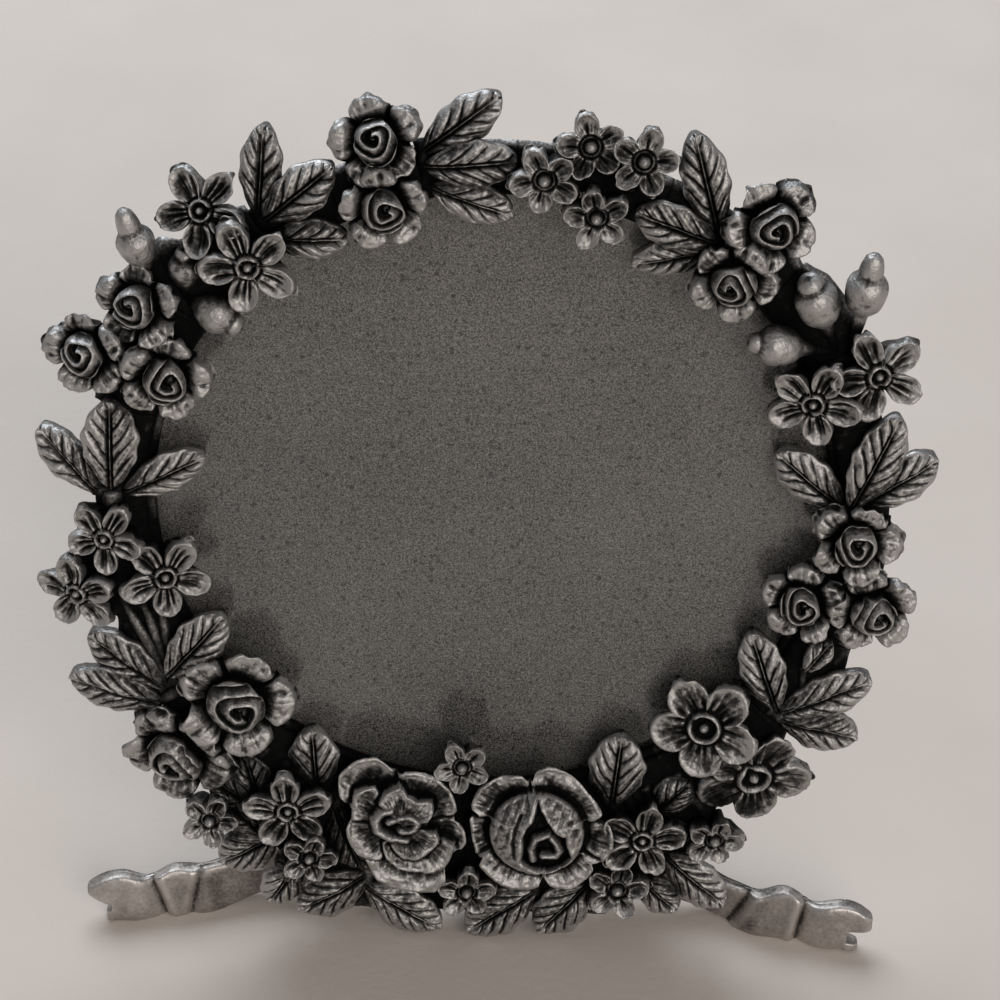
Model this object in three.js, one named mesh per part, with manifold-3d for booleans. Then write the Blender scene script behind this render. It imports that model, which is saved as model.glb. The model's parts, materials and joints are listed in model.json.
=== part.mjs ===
// A small cast pewter picture frame: a round wreath of flowers and leaves that stands on two ribbon feet.
// The wreath is drawn in its own plane (x right, y up, z towards the viewer, ring centre at 0,0,0),
// and one group leans that plane back on its feet. Millimetres and degrees throughout.
import * as THREE from 'three';
import { mergeVertices } from 'three/addons/utils/BufferGeometryUtils.js';
import Module from 'manifold-3d';

const wasm = await Module();
wasm.setup();

// Stance
const leanAngle = 10; // the wreath leans back this far from upright
const webClearance = 2.1; // from the table up to the web behind the bottom bouquet
const easelOpenAngle = 20; // between the easel leg and the back of the frame

// Ring and its rear recess
const lipRadius = 37.4; // edge of the round opening
const lipWidth = 1.6; // ledge that the glass rests on
const ringWall = 2.4; // metal outside the recess
const recessRadius = lipRadius + lipWidth; // the glass, picture and backing board sit in here
const ringRadius = recessRadius + ringWall;
const lipThickness = 1;
const ringEdgeBevel = 0.6;
const ringSteps = 48; // flats round the ring and the discs inside it

// What the recess holds, from the front
const glassThickness = 1.2;
const insertThickness = 0.4;
const backingThickness = 1.2;
const fitGap = 0.25; // air between pieces that rest on or in each other
const discGap = 0.4; // air round the discs in the recess
const discRadius = recessRadius - discGap;
const ringDepth = lipThickness + glassThickness + insertThickness + backingThickness + 3 * fitGap;

// Web behind the bottom bouquet, cast with the ring
const webThickness = 3;
const webShoulder = 8; // degrees between the corners of the web's sloping ends
const webDepth = 15.1; // how far the web reaches below the ring
const webDrop = ringRadius + webDepth;
const webTopClock = 136; // the web starts here, measured clockwise from the top, and ends at its mirror image

// Sprigs of ornament soldered to the front of the ring
const solderGap = 0.3; // between a sprig, the ring and the sprigs beside it
const padThickness = 1.3;
const padInset = 0.8; // bare rim of the lip and the web beside a pad
const padOverhang = 1.6; // pads reach past the ring's outer edge
const padInnerRadius = lipRadius + padInset;
const padOuterRadius = ringRadius + padOverhang;
const padStep = 7; // degrees between a pad's corners
const crownInset = 0.4;
const crownRadius = ringRadius - crownInset; // ornaments stand highest on this circle
const unit = crownRadius / 41; // the layout of the ornaments is drawn on a crown circle of 41 units
const crownHeight = 2.3;
const crownFall = 0.05; // loss of height per square millimetre from the crown
const tiltPerMillimetre = 3.5;
const tiltLimit = 22;
const leafTilt = 0.5; // leaves tip half as far as flowers
const bandLimit = 5.5;

// Ornament proportions
const roseHeight = 3.8;
const bigRoseHeight = 5;
const flowerHeight = 3;
const leafHeight = 1.5;
const rootDepth = 1.6; // how far an ornament's root reaches below its seat
const berryStalkRadius = 0.7;
const berrySteps = 8;
const berryRise = 12; // degrees that a berry lifts off the ring along its stalk
const strutWidth = 2.2; // joins an ornament that stands clear of its pad
const petalCount = 5;
const petalSteps = 4; // outline points on one petal

// Ribbon feet
const footThickness = 2.4;
const footTabHeight = 7; // tab soldered behind the web, above the web's lower edge
const footTabInner = 12.5;
const footTabOuter = 25;
const footLength = 22.5; // ribbon outside the tab
const footHeight = 6; // ribbon above the table
const footSweeps = { left: 4.5, right: 5.8 }; // how far each ribbon comes forward along its length

// Easel leg and its hinge
const ringCentreHeight = webDrop + webClearance;
const hingeHeight = 14; // hinge pin above the ring centre
const hingeWidth = 12;
const hingeMiddleWidth = 4.4; // the fixed leaf's knuckle
const hingePlateHeight = 8;
const hingePlateThickness = 0.7;
const pinRadius = 0.6;
const pinHeadRadius = 1.1;
const pinHeadLength = 0.5;
const knuckleRadius = 1.5;
const legThickness = 2;
const legTopWidth = 14;
const legFootWidth = 22;
const legTopGap = 2.1; // from the hinge pin down to the leg's top edge
const rivetSpacing = 7;
const rivetRadius = 0.6;
const rivetHeadRadius = 1.1;
const rivetHeadHeight = 0.5;
const rivetBite = 0.7; // how far a rivet reaches into the board

// Turn buttons that hold the backing board in
const buttonClocks = [45, 135, 225, 315];
const buttonPivotRadius = (recessRadius + ringRadius) / 2;
const buttonReach = 7.6;
const buttonWidth = 2.6;
const buttonThickness = 0.8;
const screwRadius = 0.6;
const screwHeadRadius = 1.2;
const screwHeadHeight = 0.8;
const screwSlotWidth = 0.4;
const screwBite = 3;

const pilotSteps = 10; // flats round a screw, rivet, pin or hole
const big = 400; // larger than anything in the frame

const rad = THREE.MathUtils.degToRad;
const clamp = THREE.MathUtils.clamp;

// Solids: a closed geometry becomes a solid that can be joined to and cut by others.
function solid(geometry) {
  const bare = new THREE.BufferGeometry();
  const loose = geometry.index ? geometry.toNonIndexed() : geometry;
  bare.setAttribute('position', loose.getAttribute('position'));
  const merged = mergeVertices(bare, 1e-4);
  const corners = merged.index.array;
  const triangles = [];
  for (let i = 0; i < corners.length; i += 3) {
    const [a, b, c] = [corners[i], corners[i + 1], corners[i + 2]];
    if (a !== b && b !== c && c !== a) triangles.push(a, b, c);
  }
  return new wasm.Manifold(new wasm.Mesh({
    numProp: 3,
    vertProperties: merged.attributes.position.array,
    triVerts: new Uint32Array(triangles),
  }));
}

function joined(solids) {
  return solids.reduce((whole, piece) => whole.add(piece));
}

function geometryOf(piece) {
  const mesh = piece.getMesh();
  const geometry = new THREE.BufferGeometry();
  geometry.setAttribute('position', new THREE.BufferAttribute(mesh.vertProperties, 3));
  geometry.setIndex(new THREE.BufferAttribute(mesh.triVerts, 1));
  return geometry;
}

// Shapes shared by several pieces
function extruded(points, depth, z) {
  const outline = new THREE.Shape(points);
  return new THREE.ExtrudeGeometry(outline, { depth, bevelEnabled: false }).translate(0, 0, z);
}

function turned(profile, steps) {
  const points = profile.map(([radius, z]) => new THREE.Vector2(radius, z));
  return new THREE.LatheGeometry(points, steps).rotateX(Math.PI / 2);
}

// A round bar along z between two heights.
function bar(radius, low, high, steps) {
  return turned([[0, low], [radius, low], [radius, high], [0, high]], steps);
}

function onCircle(clock, radius) {
  return new THREE.Vector2(radius * Math.sin(rad(clock)), radius * Math.cos(rad(clock)));
}

// A closed relief: rings of points from the middle of the top out to the edge and back under to the root.
function relief(topHeight, rings, rootHeight) {
  const count = rings[0].length;
  const vertices = [0, 0, topHeight];
  for (const ring of rings) for (const point of ring) vertices.push(point.x, point.y, point.z);
  vertices.push(0, 0, rootHeight);
  const last = rings.length * count + 1;
  const faces = [];
  for (let i = 0; i < count; i++) {
    const next = (i + 1) % count;
    faces.push(0, 1 + i, 1 + next);
    for (let k = 0; k + 1 < rings.length; k++) {
      const inner = 1 + k * count;
      const outer = inner + count;
      faces.push(inner + i, outer + i, outer + next);
      faces.push(inner + i, outer + next, inner + next);
    }
    faces.push(last, last - count + next, last - count + i);
  }
  const geometry = new THREE.BufferGeometry();
  geometry.setAttribute('position', new THREE.Float32BufferAttribute(vertices, 3));
  geometry.setIndex(faces);
  return geometry;
}

// One ring of a petalled relief: its reach and height differ between a petal and the notch beside it.
function petalRing(radius, petalReach, notchReach, petalHeight, notchHeight) {
  const points = [];
  for (let i = 0; i < petalCount * petalSteps; i++) {
    const angle = (2 * Math.PI * (i + petalSteps / 2)) / (petalCount * petalSteps);
    const onNotch = i % petalSteps === 0;
    const reach = radius * (onNotch ? notchReach : petalReach);
    const height = onNotch ? notchHeight : petalHeight;
    points.push(new THREE.Vector3(reach * Math.sin(-angle), reach * Math.cos(angle), height));
  }
  return points;
}

// A five-petal flower with a raised boss. The notch is how far out the gaps between petals reach.
function petalled(across, grow, notch) {
  const radius = across / 2 + grow;
  const top = flowerHeight + grow;
  return relief(top, [
    petalRing(radius, 0.2, 0.2, top * 0.9, top * 0.9),
    petalRing(radius, 0.34, 0.3, top * 0.42, top * 0.36),
    petalRing(radius, 1, notch, top * 0.66, top * 0.34),
    petalRing(radius, 0.5, 0.42, -rootDepth - grow, -rootDepth - grow),
  ], -rootDepth - grow);
}

function flower(across, grow) {
  return petalled(across, grow, 0.66);
}

function primrose(across, grow) {
  return petalled(across, grow, 0.8);
}

// A small rose: five cupped petals round a raised bud with a hollow heart.
function rose(across, grow) {
  const radius = across / 2 + grow;
  const top = roseHeight + grow;
  return relief(top * 0.7, [
    petalRing(radius, 0.2, 0.2, top, top),
    petalRing(radius, 0.46, 0.46, top * 0.82, top * 0.82),
    petalRing(radius, 0.58, 0.54, top * 0.4, top * 0.4),
    petalRing(radius, 1, 0.78, top * 0.52, top * 0.34),
    petalRing(radius, 0.6, 0.5, -rootDepth - grow, -rootDepth - grow),
  ], -rootDepth - grow);
}

// A large open rose: three tiers of petals round a hollow heart.
function bigRose(across, grow) {
  const radius = across / 2 + grow;
  const top = bigRoseHeight + grow;
  return relief(top * 0.72, [
    petalRing(radius, 0.16, 0.16, top, top),
    petalRing(radius, 0.26, 0.26, top * 0.8, top * 0.8),
    petalRing(radius, 0.44, 0.4, top * 0.92, top * 0.86),
    petalRing(radius, 0.56, 0.54, top * 0.58, top * 0.58),
    petalRing(radius, 0.74, 0.68, top * 0.66, top * 0.6),
    petalRing(radius, 1, 0.86, top * 0.42, top * 0.32),
    petalRing(radius, 0.7, 0.62, -rootDepth - grow, -rootDepth - grow),
  ], -rootDepth - grow);
}

// A leaf along y, centred on its middle: two pillowed halves beside a sunk midrib.
function leaf(length, width, grow) {
  const half = length / 2 + grow;
  const side = width / 2 + grow;
  const top = leafHeight + grow;
  const under = -rootDepth * 0.6 - grow;
  const stations = [[-0.76, 0.6], [-0.25, 1], [0.3, 0.96], [0.76, 0.6]];
  const columns = [[-1, 0.35], [-0.5, 1], [0, 0.6], [0.5, 1], [1, 0.35]];
  const vertices = [[0, -half, top * 0.4], [0, half, top * 0.4]];
  for (const [along, wide] of stations) {
    for (const [across, height] of columns) vertices.push([across * wide * side, along * half, height * top]);
  }
  const lower = vertices.length;
  vertices.push([0, -half, under], [0, half, under]);
  for (const [along, wide] of stations) {
    vertices.push([-wide * side, along * half, under], [wide * side, along * half, under]);
  }
  const at = (station, column) => 2 + station * columns.length + column;
  const below = (station, right) => lower + 2 + station * 2 + right;
  const lastStation = stations.length - 1;
  const lastColumn = columns.length - 1;
  const faces = [];
  const quad = (a, b, c, d) => faces.push(a, b, c, a, c, d);
  for (let column = 0; column < lastColumn; column++) {
    faces.push(0, at(0, column + 1), at(0, column));
    faces.push(1, at(lastStation, column), at(lastStation, column + 1));
    for (let station = 0; station < lastStation; station++) {
      const [near, far] = [at(station, column), at(station + 1, column)];
      quad(near, near + 1, far + 1, far);
    }
  }
  for (let station = 0; station < lastStation; station++) {
    quad(below(station, 0), at(station, 0), at(station + 1, 0), below(station + 1, 0));
    quad(at(station, lastColumn), below(station, 1), below(station + 1, 1), at(station + 1, lastColumn));
    quad(below(station, 1), below(station, 0), below(station + 1, 0), below(station + 1, 1));
  }
  quad(lower, 0, at(0, 0), below(0, 0));
  quad(0, lower, below(0, 1), at(0, lastColumn));
  quad(1, lower + 1, below(lastStation, 0), at(lastStation, 0));
  quad(lower + 1, 1, at(lastStation, lastColumn), below(lastStation, 1));
  faces.push(lower, below(0, 0), below(0, 1));
  faces.push(lower + 1, below(lastStation, 1), below(lastStation, 0));
  const geometry = new THREE.BufferGeometry();
  geometry.setAttribute('position', new THREE.Float32BufferAttribute(vertices.flat(), 3));
  geometry.setIndex(faces);
  return geometry;
}

// A berry on its stalk along y, centred on the berry: a plump body with a blunt crown.
function berry(across, stalkLength, grow) {
  const radius = across / 2 + grow;
  const stalk = berryStalkRadius + grow;
  const points = [
    [0, -stalkLength - grow],
    [stalk, -stalkLength - grow],
    [stalk, -radius],
    [radius, -radius * 0.35],
    [radius, radius * 0.4],
    [radius * 0.35, radius * 1.15],
    [radius * 0.3, radius * 1.5],
    [0, radius * 1.5],
  ];
  return new THREE.LatheGeometry(points.map(([x, y]) => new THREE.Vector2(x, y)), berrySteps);
}

// How high the seat stands and how far it tips outward at a distance from the ring centre.
function seat(radius) {
  const band = clamp(radius - crownRadius, -bandLimit, bandLimit);
  const tip = clamp(band * tiltPerMillimetre, -tiltLimit, tiltLimit);
  return { lift: crownHeight - crownFall * band * band, tip };
}

// Sets an ornament on the wreath: its own +y points along the heading, measured clockwise from straight up.
function placed(geometry, clock, radius, heading, lift, tip) {
  return geometry
    .rotateZ(rad(clock - heading))
    .rotateX(rad(-tip))
    .translate(0, radius, lift)
    .rotateZ(rad(-clock));
}

// A strut under an ornament that its pad doesn't reach.
function strut(clock, radius, grow) {
  const length = Math.abs(radius - crownRadius) + 2 * grow;
  const thick = padThickness + 2 * grow;
  return new THREE.BoxGeometry(strutWidth + 2 * grow, length, thick)
    .translate(0, (radius + crownRadius) / 2, solderGap + padThickness / 2)
    .rotateZ(rad(-clock));
}

// Whether an ornament's root stands on a ring pad.
function overPad(radius, across) {
  const rootReach = across / 4 - 0.5;
  return radius - rootReach < padOuterRadius && radius + rootReach > padInnerRadius;
}

// Ornament makers. Each gives its geometries as a function of the growth, so that neighbours can be cut
// clear.
// Each place is a clock angle from the top and a distance out from the crown circle, in layout units.
function round(make, clock, out, across, heading) {
  const radius = crownRadius + out * unit;
  const { lift, tip } = seat(radius);
  return (grow) => {
    const ornament = placed(make(across * unit, grow), clock, radius, heading, lift, tip);
    return overPad(radius, across * unit) ? [ornament] : [ornament, strut(clock, radius, grow)];
  };
}

// An ornament of the bottom bouquet lies on the web instead of on the ring, tipped back towards the top.
function bouquetRound(make, clock, out, across, heading, tip) {
  const radius = crownRadius + out * unit;
  return (grow) => {
    const ornament = placed(make(across * unit, grow), clock, radius, heading, crownHeight, tip);
    return [ornament, strut(clock, radius, grow)];
  };
}

// A point of the wreath's plane as a clock angle and a radius.
function clockOf(point) {
  return THREE.MathUtils.radToDeg(Math.atan2(point.x, point.y));
}

// A berry is set out from the foot of its stalk, along its heading.
function stalkedBerry(clock, out, heading, stalkLength, across) {
  const middle = onCircle(clock, crownRadius + out * unit).add(onCircle(heading, stalkLength * unit));
  const foot = solderGap + padThickness - berryStalkRadius / 2;
  const lift = foot + stalkLength * unit * Math.sin(rad(berryRise));
  const made = (grow) => berry(across * unit, stalkLength * unit, grow).rotateX(rad(berryRise));
  return (grow) => [placed(made(grow), clockOf(middle), middle.length(), heading, lift, 0)];
}

// A leaf is set out from its stalk end, along its heading.
function stalked(clock, out, heading, length, width, onWeb) {
  const middle = onCircle(clock, crownRadius + out * unit).add(onCircle(heading, (length * unit) / 2));
  const middleRadius = middle.length();
  const ringSeat = seat(middleRadius);
  const lift = onWeb ? crownHeight - rootDepth / 2 : ringSeat.lift;
  const tip = onWeb ? 0 : ringSeat.tip * leafTilt;
  const stalkEnd = crownRadius + out * unit + strutWidth / 2;
  const needsStalk = onWeb || stalkEnd > padOuterRadius;
  return (grow) => {
    const blade = leaf(length * unit, width * unit, grow);
    const ornament = placed(blade, clockOf(middle), middleRadius, heading, lift, tip);
    return needsStalk ? [ornament, strut(clock, stalkEnd, grow)] : [ornament];
  };
}

// A sector plate that a sprig's ornaments stand on.
function sector(from, to, outer, grow) {
  const margin = solderGap / 2 - grow;
  const inside = padInnerRadius - grow;
  const outside = outer + grow;
  const points = [];
  const steps = Math.ceil((to - from) / padStep);
  const turnAt = (radius, i) => {
    const trim = THREE.MathUtils.radToDeg(margin / radius);
    return from + trim + ((to - from - 2 * trim) * i) / steps;
  };
  for (let i = 0; i <= steps; i++) points.push(onCircle(turnAt(outside, i), outside));
  for (let i = steps; i >= 0; i--) points.push(onCircle(turnAt(inside, i), inside));
  return extruded(points, padThickness + 2 * grow, solderGap - grow);
}

// The pad of a sprig on the ring, and for the bouquet the part of the web below it too.
function padSolid(sprig, grow) {
  const onRing = solid(sector(sprig.from, sprig.to, padOuterRadius, grow));
  if (!sprig.onWeb) return onRing;
  const wide = solid(sector(sprig.from, sprig.to, 2 * webDrop, grow));
  const webArea = extruded(webOutline(grow - padInset), padThickness + 2 * grow, solderGap - grow);
  return onRing.add(wide.intersect(solid(webArea)));
}

// The wreath, clockwise from the top: the arc of each sprig's pad, its layer (0 lies over 1, and so on)
// and its ornaments.
const sprigs = [
  { name: 'roses_top', from: 335, to: 348, layer: 0, ornaments: [
    round(rose, 343.7, 4.8, 10, 342),
    round(rose, 342, -1.6, 9.3, 350),
  ] },
  { name: 'leaves_top', from: 348, to: 362, layer: 3, ornaments: [
    stalked(349, 2.6, 52, 10, 4.6),
    stalked(349, 1.3, 84, 9.6, 4.9),
    stalked(349.5, -1, 109.5, 9, 4.4),
  ] },
  { name: 'blossoms_top', from: 2, to: 24, layer: 0, ornaments: [
    round(flower, 6, 0.3, 7.4, 333),
    round(flower, 11.3, 4, 7.2, 347),
    round(flower, 18.5, 4, 7.4, 14),
    round(flower, 14.9, -2.4, 7, 348),
  ] },
  { name: 'leaves_upper_right', from: 24, to: 34.5, layer: 3, ornaments: [
    stalked(32.8, 0.6, 344, 11, 4.8),
    stalked(33.2, -0.2, 291, 9.1, 4.8),
    stalked(34, -0.8, 254.5, 9, 4),
  ] },
  { name: 'roses_upper_right', from: 34.5, to: 46, layer: 0, ornaments: [
    round(rose, 37.7, 4.5, 9.8, 333),
    round(rose, 39, -1.9, 9.2, 27),
  ] },
  { name: 'berries_right', from: 46, to: 60.5, layer: 2, ornaments: [
    stalkedBerry(59.8, 1, 337, 7.2, 4.8),
    stalkedBerry(59.8, 1, 19, 7.5, 4.6),
    stalkedBerry(59.8, 1, 281, 6.8, 4.5),
  ] },
  { name: 'blossoms_right', from: 60.5, to: 73, layer: 0, ornaments: [
    round(flower, 64.3, 3.7, 10, 334),
    round(flower, 64.6, -3, 10, 23),
  ] },
  { name: 'leaves_right', from: 73, to: 89, layer: 3, ornaments: [
    stalked(86.4, -2.2, 308, 9.8, 5.3),
    stalked(86, -1.6, 20.5, 12.2, 5.3),
    stalked(85.3, -0.6, 56, 9.8, 5.5),
  ] },
  { name: 'roses_right', from: 89, to: 112, layer: 0, ornaments: [
    round(rose, 91.4, -0.8, 9.8, 20),
    round(rose, 105.3, -4.3, 9.2, 1),
    round(rose, 103.1, 2.7, 10, 348),
  ] },
  { name: 'leaves_lower_right', from: 112, to: 128.5, layer: 3, ornaments: [
    stalked(126.1, 0.4, 340, 10.6, 5),
    stalked(126.1, 0.8, 66, 11.1, 5.3),
    stalked(127.3, 1.6, 108.5, 9.9, 5.3),
  ] },
  { name: 'primroses', from: 128.5, to: 145, layer: 0, ornaments: [
    round(primrose, 136.4, -4, 12.6, 327),
    round(primrose, 137.2, 4.8, 13.6, 27),
  ] },
  { name: 'bouquet_right', from: 145, to: 163, onWeb: true, layer: 1, ornaments: [
    bouquetRound(flower, 146.8, 9, 6.9, 17, 0),
    bouquetRound(flower, 155.8, 5.1, 10, 12, 0),
    bouquetRound(flower, 161.8, 11.2, 7.6, 11, 0),
    stalked(152.6, 3.1, 42, 5.6, 4.5, true),
    stalked(158.9, 0.9, 4.5, 10.2, 6.4, true),
    stalked(154.5, 9.8, 133.5, 10.3, 5.2, true),
    stalked(158.8, 11.8, 136, 6.7, 4.4, true),
  ] },
  { name: 'bouquet_roses', from: 163, to: 201, onWeb: true, layer: 1, ornaments: [
    bouquetRound(bigRose, 170.9, 0.2, 17, 20, -12),
    bouquetRound(bigRose, 193.1, 0.5, 16.8, 340, -12),
    bouquetRound(flower, 184.4, -8, 6.6, 333, -12),
    bouquetRound(flower, 181.8, 9.6, 7.2, 4, 0),
    stalked(165.6, 11, 217.5, 9.5, 6, true),
    stalked(174.6, 11.4, 228, 8.9, 4.8, true),
    stalked(194.9, 12.6, 124, 11, 6, true),
  ] },
  { name: 'bouquet_left', from: 201, to: 219.5, onWeb: true, layer: 1, ornaments: [
    bouquetRound(flower, 210, 4.5, 10.2, 355, 0),
    bouquetRound(flower, 203.7, 9.5, 6.8, 19, 0),
    bouquetRound(flower, 217.8, 11.2, 6.8, 25, 0),
    stalked(202.5, 9.7, 232.5, 6, 5.2, true),
    stalked(202.7, 3, 159, 9.2, 4.2, true),
    stalked(208.5, 9.9, 239.5, 7.9, 6.2, true),
    stalked(204.2, 12.6, 210, 6.6, 5, true),
    stalked(207.4, 1.3, 356, 8.2, 5.6, true),
  ] },
  { name: 'roses_lower_left', from: 219.5, to: 234, layer: 0, ornaments: [
    round(rose, 228.9, -2.7, 13.4, 20),
    round(rose, 227.4, 7.1, 12.4, 41),
  ] },
  { name: 'leaves_lower_left', from: 234, to: 250, layer: 3, ornaments: [
    stalked(238.8, 1.8, 39.5, 10.4, 5.5),
    stalked(236.9, 3, 306.5, 10.7, 5.6),
    stalked(235, 4.6, 281.5, 11, 5.8),
  ] },
  { name: 'blossoms_left', from: 250, to: 269, layer: 0, ornaments: [
    round(flower, 265.8, 1.6, 8.4, 320),
    round(flower, 256.3, 6, 9.6, 280),
    round(flower, 257.2, -3.5, 10, 321),
  ] },
  { name: 'leaves_left', from: 269, to: 286, layer: 3, ornaments: [
    stalked(271.9, 2.2, 318, 9.8, 4.6),
    stalked(273.3, 0.9, 1.5, 10.9, 6),
    stalked(272.5, -0.4, 64, 9.9, 4.6),
  ] },
  { name: 'roses_left', from: 286, to: 305, layer: 0, ornaments: [
    round(rose, 303.1, 4.1, 9.2, 0),
    round(rose, 293, 6.2, 9.4, 347),
    round(rose, 295.3, -1.7, 9.8, 15),
  ] },
  { name: 'berries_left', from: 305, to: 313.5, layer: 2, ornaments: [
    stalkedBerry(307.5, 1, 320, 7.4, 3.9),
    stalkedBerry(307.5, 1, 4, 3.4, 3.5),
    stalkedBerry(307.5, 1, 117, 4, 4.2),
  ] },
  { name: 'blossoms_upper_left', from: 313.5, to: 323, layer: 0, ornaments: [
    round(flower, 318.9, 5.8, 9.6, 325),
    round(flower, 319.6, -0.6, 10, 333),
  ] },
  { name: 'leaves_upper_left', from: 323, to: 335, layer: 3, ornaments: [
    stalked(324.2, 2, 3, 9.9, 4.3),
    stalked(324.9, 1.7, 48.5, 9.4, 4.9),
    stalked(323.6, 0.1, 89.5, 8.4, 4.1),
  ] },
];

function sprigSolid(sprig, grow) {
  const pieces = sprig.ornaments.flatMap((ornament) => ornament(grow)).map(solid);
  return joined([padSolid(sprig, grow), ...pieces]);
}

// The ring's section, closed on itself, from the lip round the front to the recess.
function ringProfile(grow) {
  const back = -ringDepth - grow;
  const seatFace = -lipThickness;
  return [
    [recessRadius, back],
    [ringRadius + grow, back],
    [ringRadius + grow, -ringEdgeBevel + grow],
    [ringRadius - ringEdgeBevel + grow, grow],
    [lipRadius + ringEdgeBevel - grow, grow],
    [lipRadius - grow, -ringEdgeBevel + grow],
    [lipRadius - grow, seatFace],
    [recessRadius, seatFace],
    [recessRadius, back],
  ];
}

function webOutline(grow) {
  const ends = [0, 1, 2].map((corner) => {
    const clock = webTopClock + corner * webShoulder;
    return onCircle(clock, ringRadius + 1 + (corner * webDepth * 3) / 8 + grow);
  });
  const corner = new THREE.Vector2(webDrop * 0.27, -webDrop - grow);
  const right = [onCircle(webTopClock, crownRadius), ...ends, corner];
  const left = right.map((point) => new THREE.Vector2(-point.x, point.y)).reverse();
  const inner = [];
  for (let clock = 360 - webTopClock - webShoulder; clock > webTopClock + 1; clock -= webShoulder) {
    inner.push(onCircle(clock, crownRadius));
  }
  return [...right, ...left, ...inner];
}

function ringSolid(grow) {
  const band = solid(turned(ringProfile(grow), ringSteps));
  const plate = solid(extruded(webOutline(grow), webThickness + grow, -webThickness));
  return band.add(plate);
}

function wreathRing() {
  const hole = screwRadius + fitGap / 2;
  const pilots = buttonClocks.map((clock) => {
    const at = onCircle(clock, buttonPivotRadius);
    const drilled = bar(hole, -ringDepth - 1, -ringDepth + screwBite + fitGap, pilotSteps);
    return solid(drilled.translate(at.x, at.y, 0));
  });
  return pilots.reduce((whole, pilot) => whole.subtract(pilot), ringSolid(0));
}

// Everything below the table, seen from the wreath's own plane.
function belowTable(inverse) {
  return solid(new THREE.BoxGeometry(big, big, big).translate(0, 0, -big / 2).applyMatrix4(inverse));
}

// A ribbon foot: its outline from the front and its wavy run seen from above, met in one solid.
function ribbonFoot(side, sweep, tableCut) {
  const along = (share) => footTabOuter + share * footLength;
  const above = (share) => -ringCentreHeight / Math.cos(rad(leanAngle)) + share * footHeight;
  const tabTop = -webDrop + footTabHeight;
  const front = [
    [footTabInner, above(0.6)],
    [footTabInner, tabTop],
    [along(-0.2), tabTop],
    [along(0), above(1.4)],
    [along(0.22), above(1.05)],
    [along(0.4), above(0.98)],
    [along(0.55), above(1.18)],
    [along(0.67), above(0.9)],
    [along(0.8), above(1.13)],
    [along(0.9), above(1.03)],
    [along(1), above(0.73)],
    [along(0.99), above(0.5)],
    [along(0.83), above(0.5)],
    [along(0.83), above(0.22)],
    [along(0.92), above(0.2)],
    [along(0.9), above(-1)],
    [along(0.45), above(-1)],
    [along(0.32), above(-0.05)],
    [along(-0.05), above(0.48)],
  ];
  const tabDepth = -webThickness - solderGap - footThickness / 2;
  const run = [
    [footTabInner - 1, tabDepth],
    [along(-0.13), tabDepth],
    [along(0.1), tabDepth + sweep * 0.05],
    [along(0.27), tabDepth + sweep * 0.35],
    [along(0.38), tabDepth + sweep * 0.58],
    [along(0.5), tabDepth + sweep * 0.63],
    [along(0.6), tabDepth + sweep * 0.74],
    [along(0.73), tabDepth + sweep * 0.95],
    [along(0.84), tabDepth + sweep * 0.93],
    [along(1.05), tabDepth + sweep],
  ];
  const strip = run.map(([x, z]) => [x, z + footThickness / 2]);
  for (const [x, z] of [...run].reverse()) strip.push([x, z - footThickness / 2]);
  const onSide = ([x, y]) => new THREE.Vector2(side * x, y);
  const face = solid(extruded(front.map(onSide), big, -big / 2));
  const plan = solid(extruded(strip.map(onSide), big, -big / 2).rotateX(Math.PI / 2));
  return face.intersect(plan).subtract(tableCut);
}

// A disc in the recess, given its front face.
function recessDisc(front, thickness) {
  return bar(discRadius, front - thickness, front, ringSteps);
}

const glassFront = -lipThickness - fitGap;
const insertFront = glassFront - glassThickness - fitGap;
const backingFront = insertFront - insertThickness - fitGap;
const backFace = backingFront - backingThickness;

// Hinge pieces are drawn round the hinge pin: x along the pin, y up the frame, z towards the viewer.
const hingeDepth = backFace - fitGap - knuckleRadius;
const plateRear = knuckleRadius - hingePlateThickness;
const rivetRow = knuckleRadius + (hingePlateHeight - knuckleRadius) / 2;
const legFront = plateRear - fitGap;
const legRear = legFront - legThickness;
const rivetHole = rivetRadius + fitGap / 2;

function alongPin(geometry) {
  return geometry.rotateY(Math.PI / 2);
}

function hingePlate(points) {
  const outline = points.map(([x, y]) => new THREE.Vector2(x, y));
  return solid(extruded(outline, hingePlateThickness, plateRear));
}

function rivetHoles(y) {
  return [-1, 1].map((side) => {
    const hole = bar(rivetHole, -big / 2, big / 2, pilotSteps);
    return solid(hole.translate((side * rivetSpacing) / 2, y, 0));
  });
}

function drilled(piece, holes) {
  return holes.reduce((whole, hole) => whole.subtract(hole), piece);
}

function hingeBore() {
  return solid(alongPin(bar(pinRadius + fitGap, -hingeWidth, hingeWidth, pilotSteps)));
}

// The fixed leaf: one middle knuckle and a plate that runs up the backing board.
function hingeLeafFixed() {
  const tongue = hingeMiddleWidth / 2;
  const half = hingeWidth / 2;
  const shoulder = knuckleRadius + fitGap;
  const plate = hingePlate([
    [-tongue, 0], [tongue, 0], [tongue, shoulder], [half, shoulder],
    [half, hingePlateHeight], [-half, hingePlateHeight], [-half, shoulder], [-tongue, shoulder],
  ]);
  const knuckle = solid(alongPin(bar(knuckleRadius, -tongue, tongue, pilotSteps)));
  return drilled(plate.add(knuckle), [hingeBore(), ...rivetHoles(rivetRow)]);
}

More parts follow.
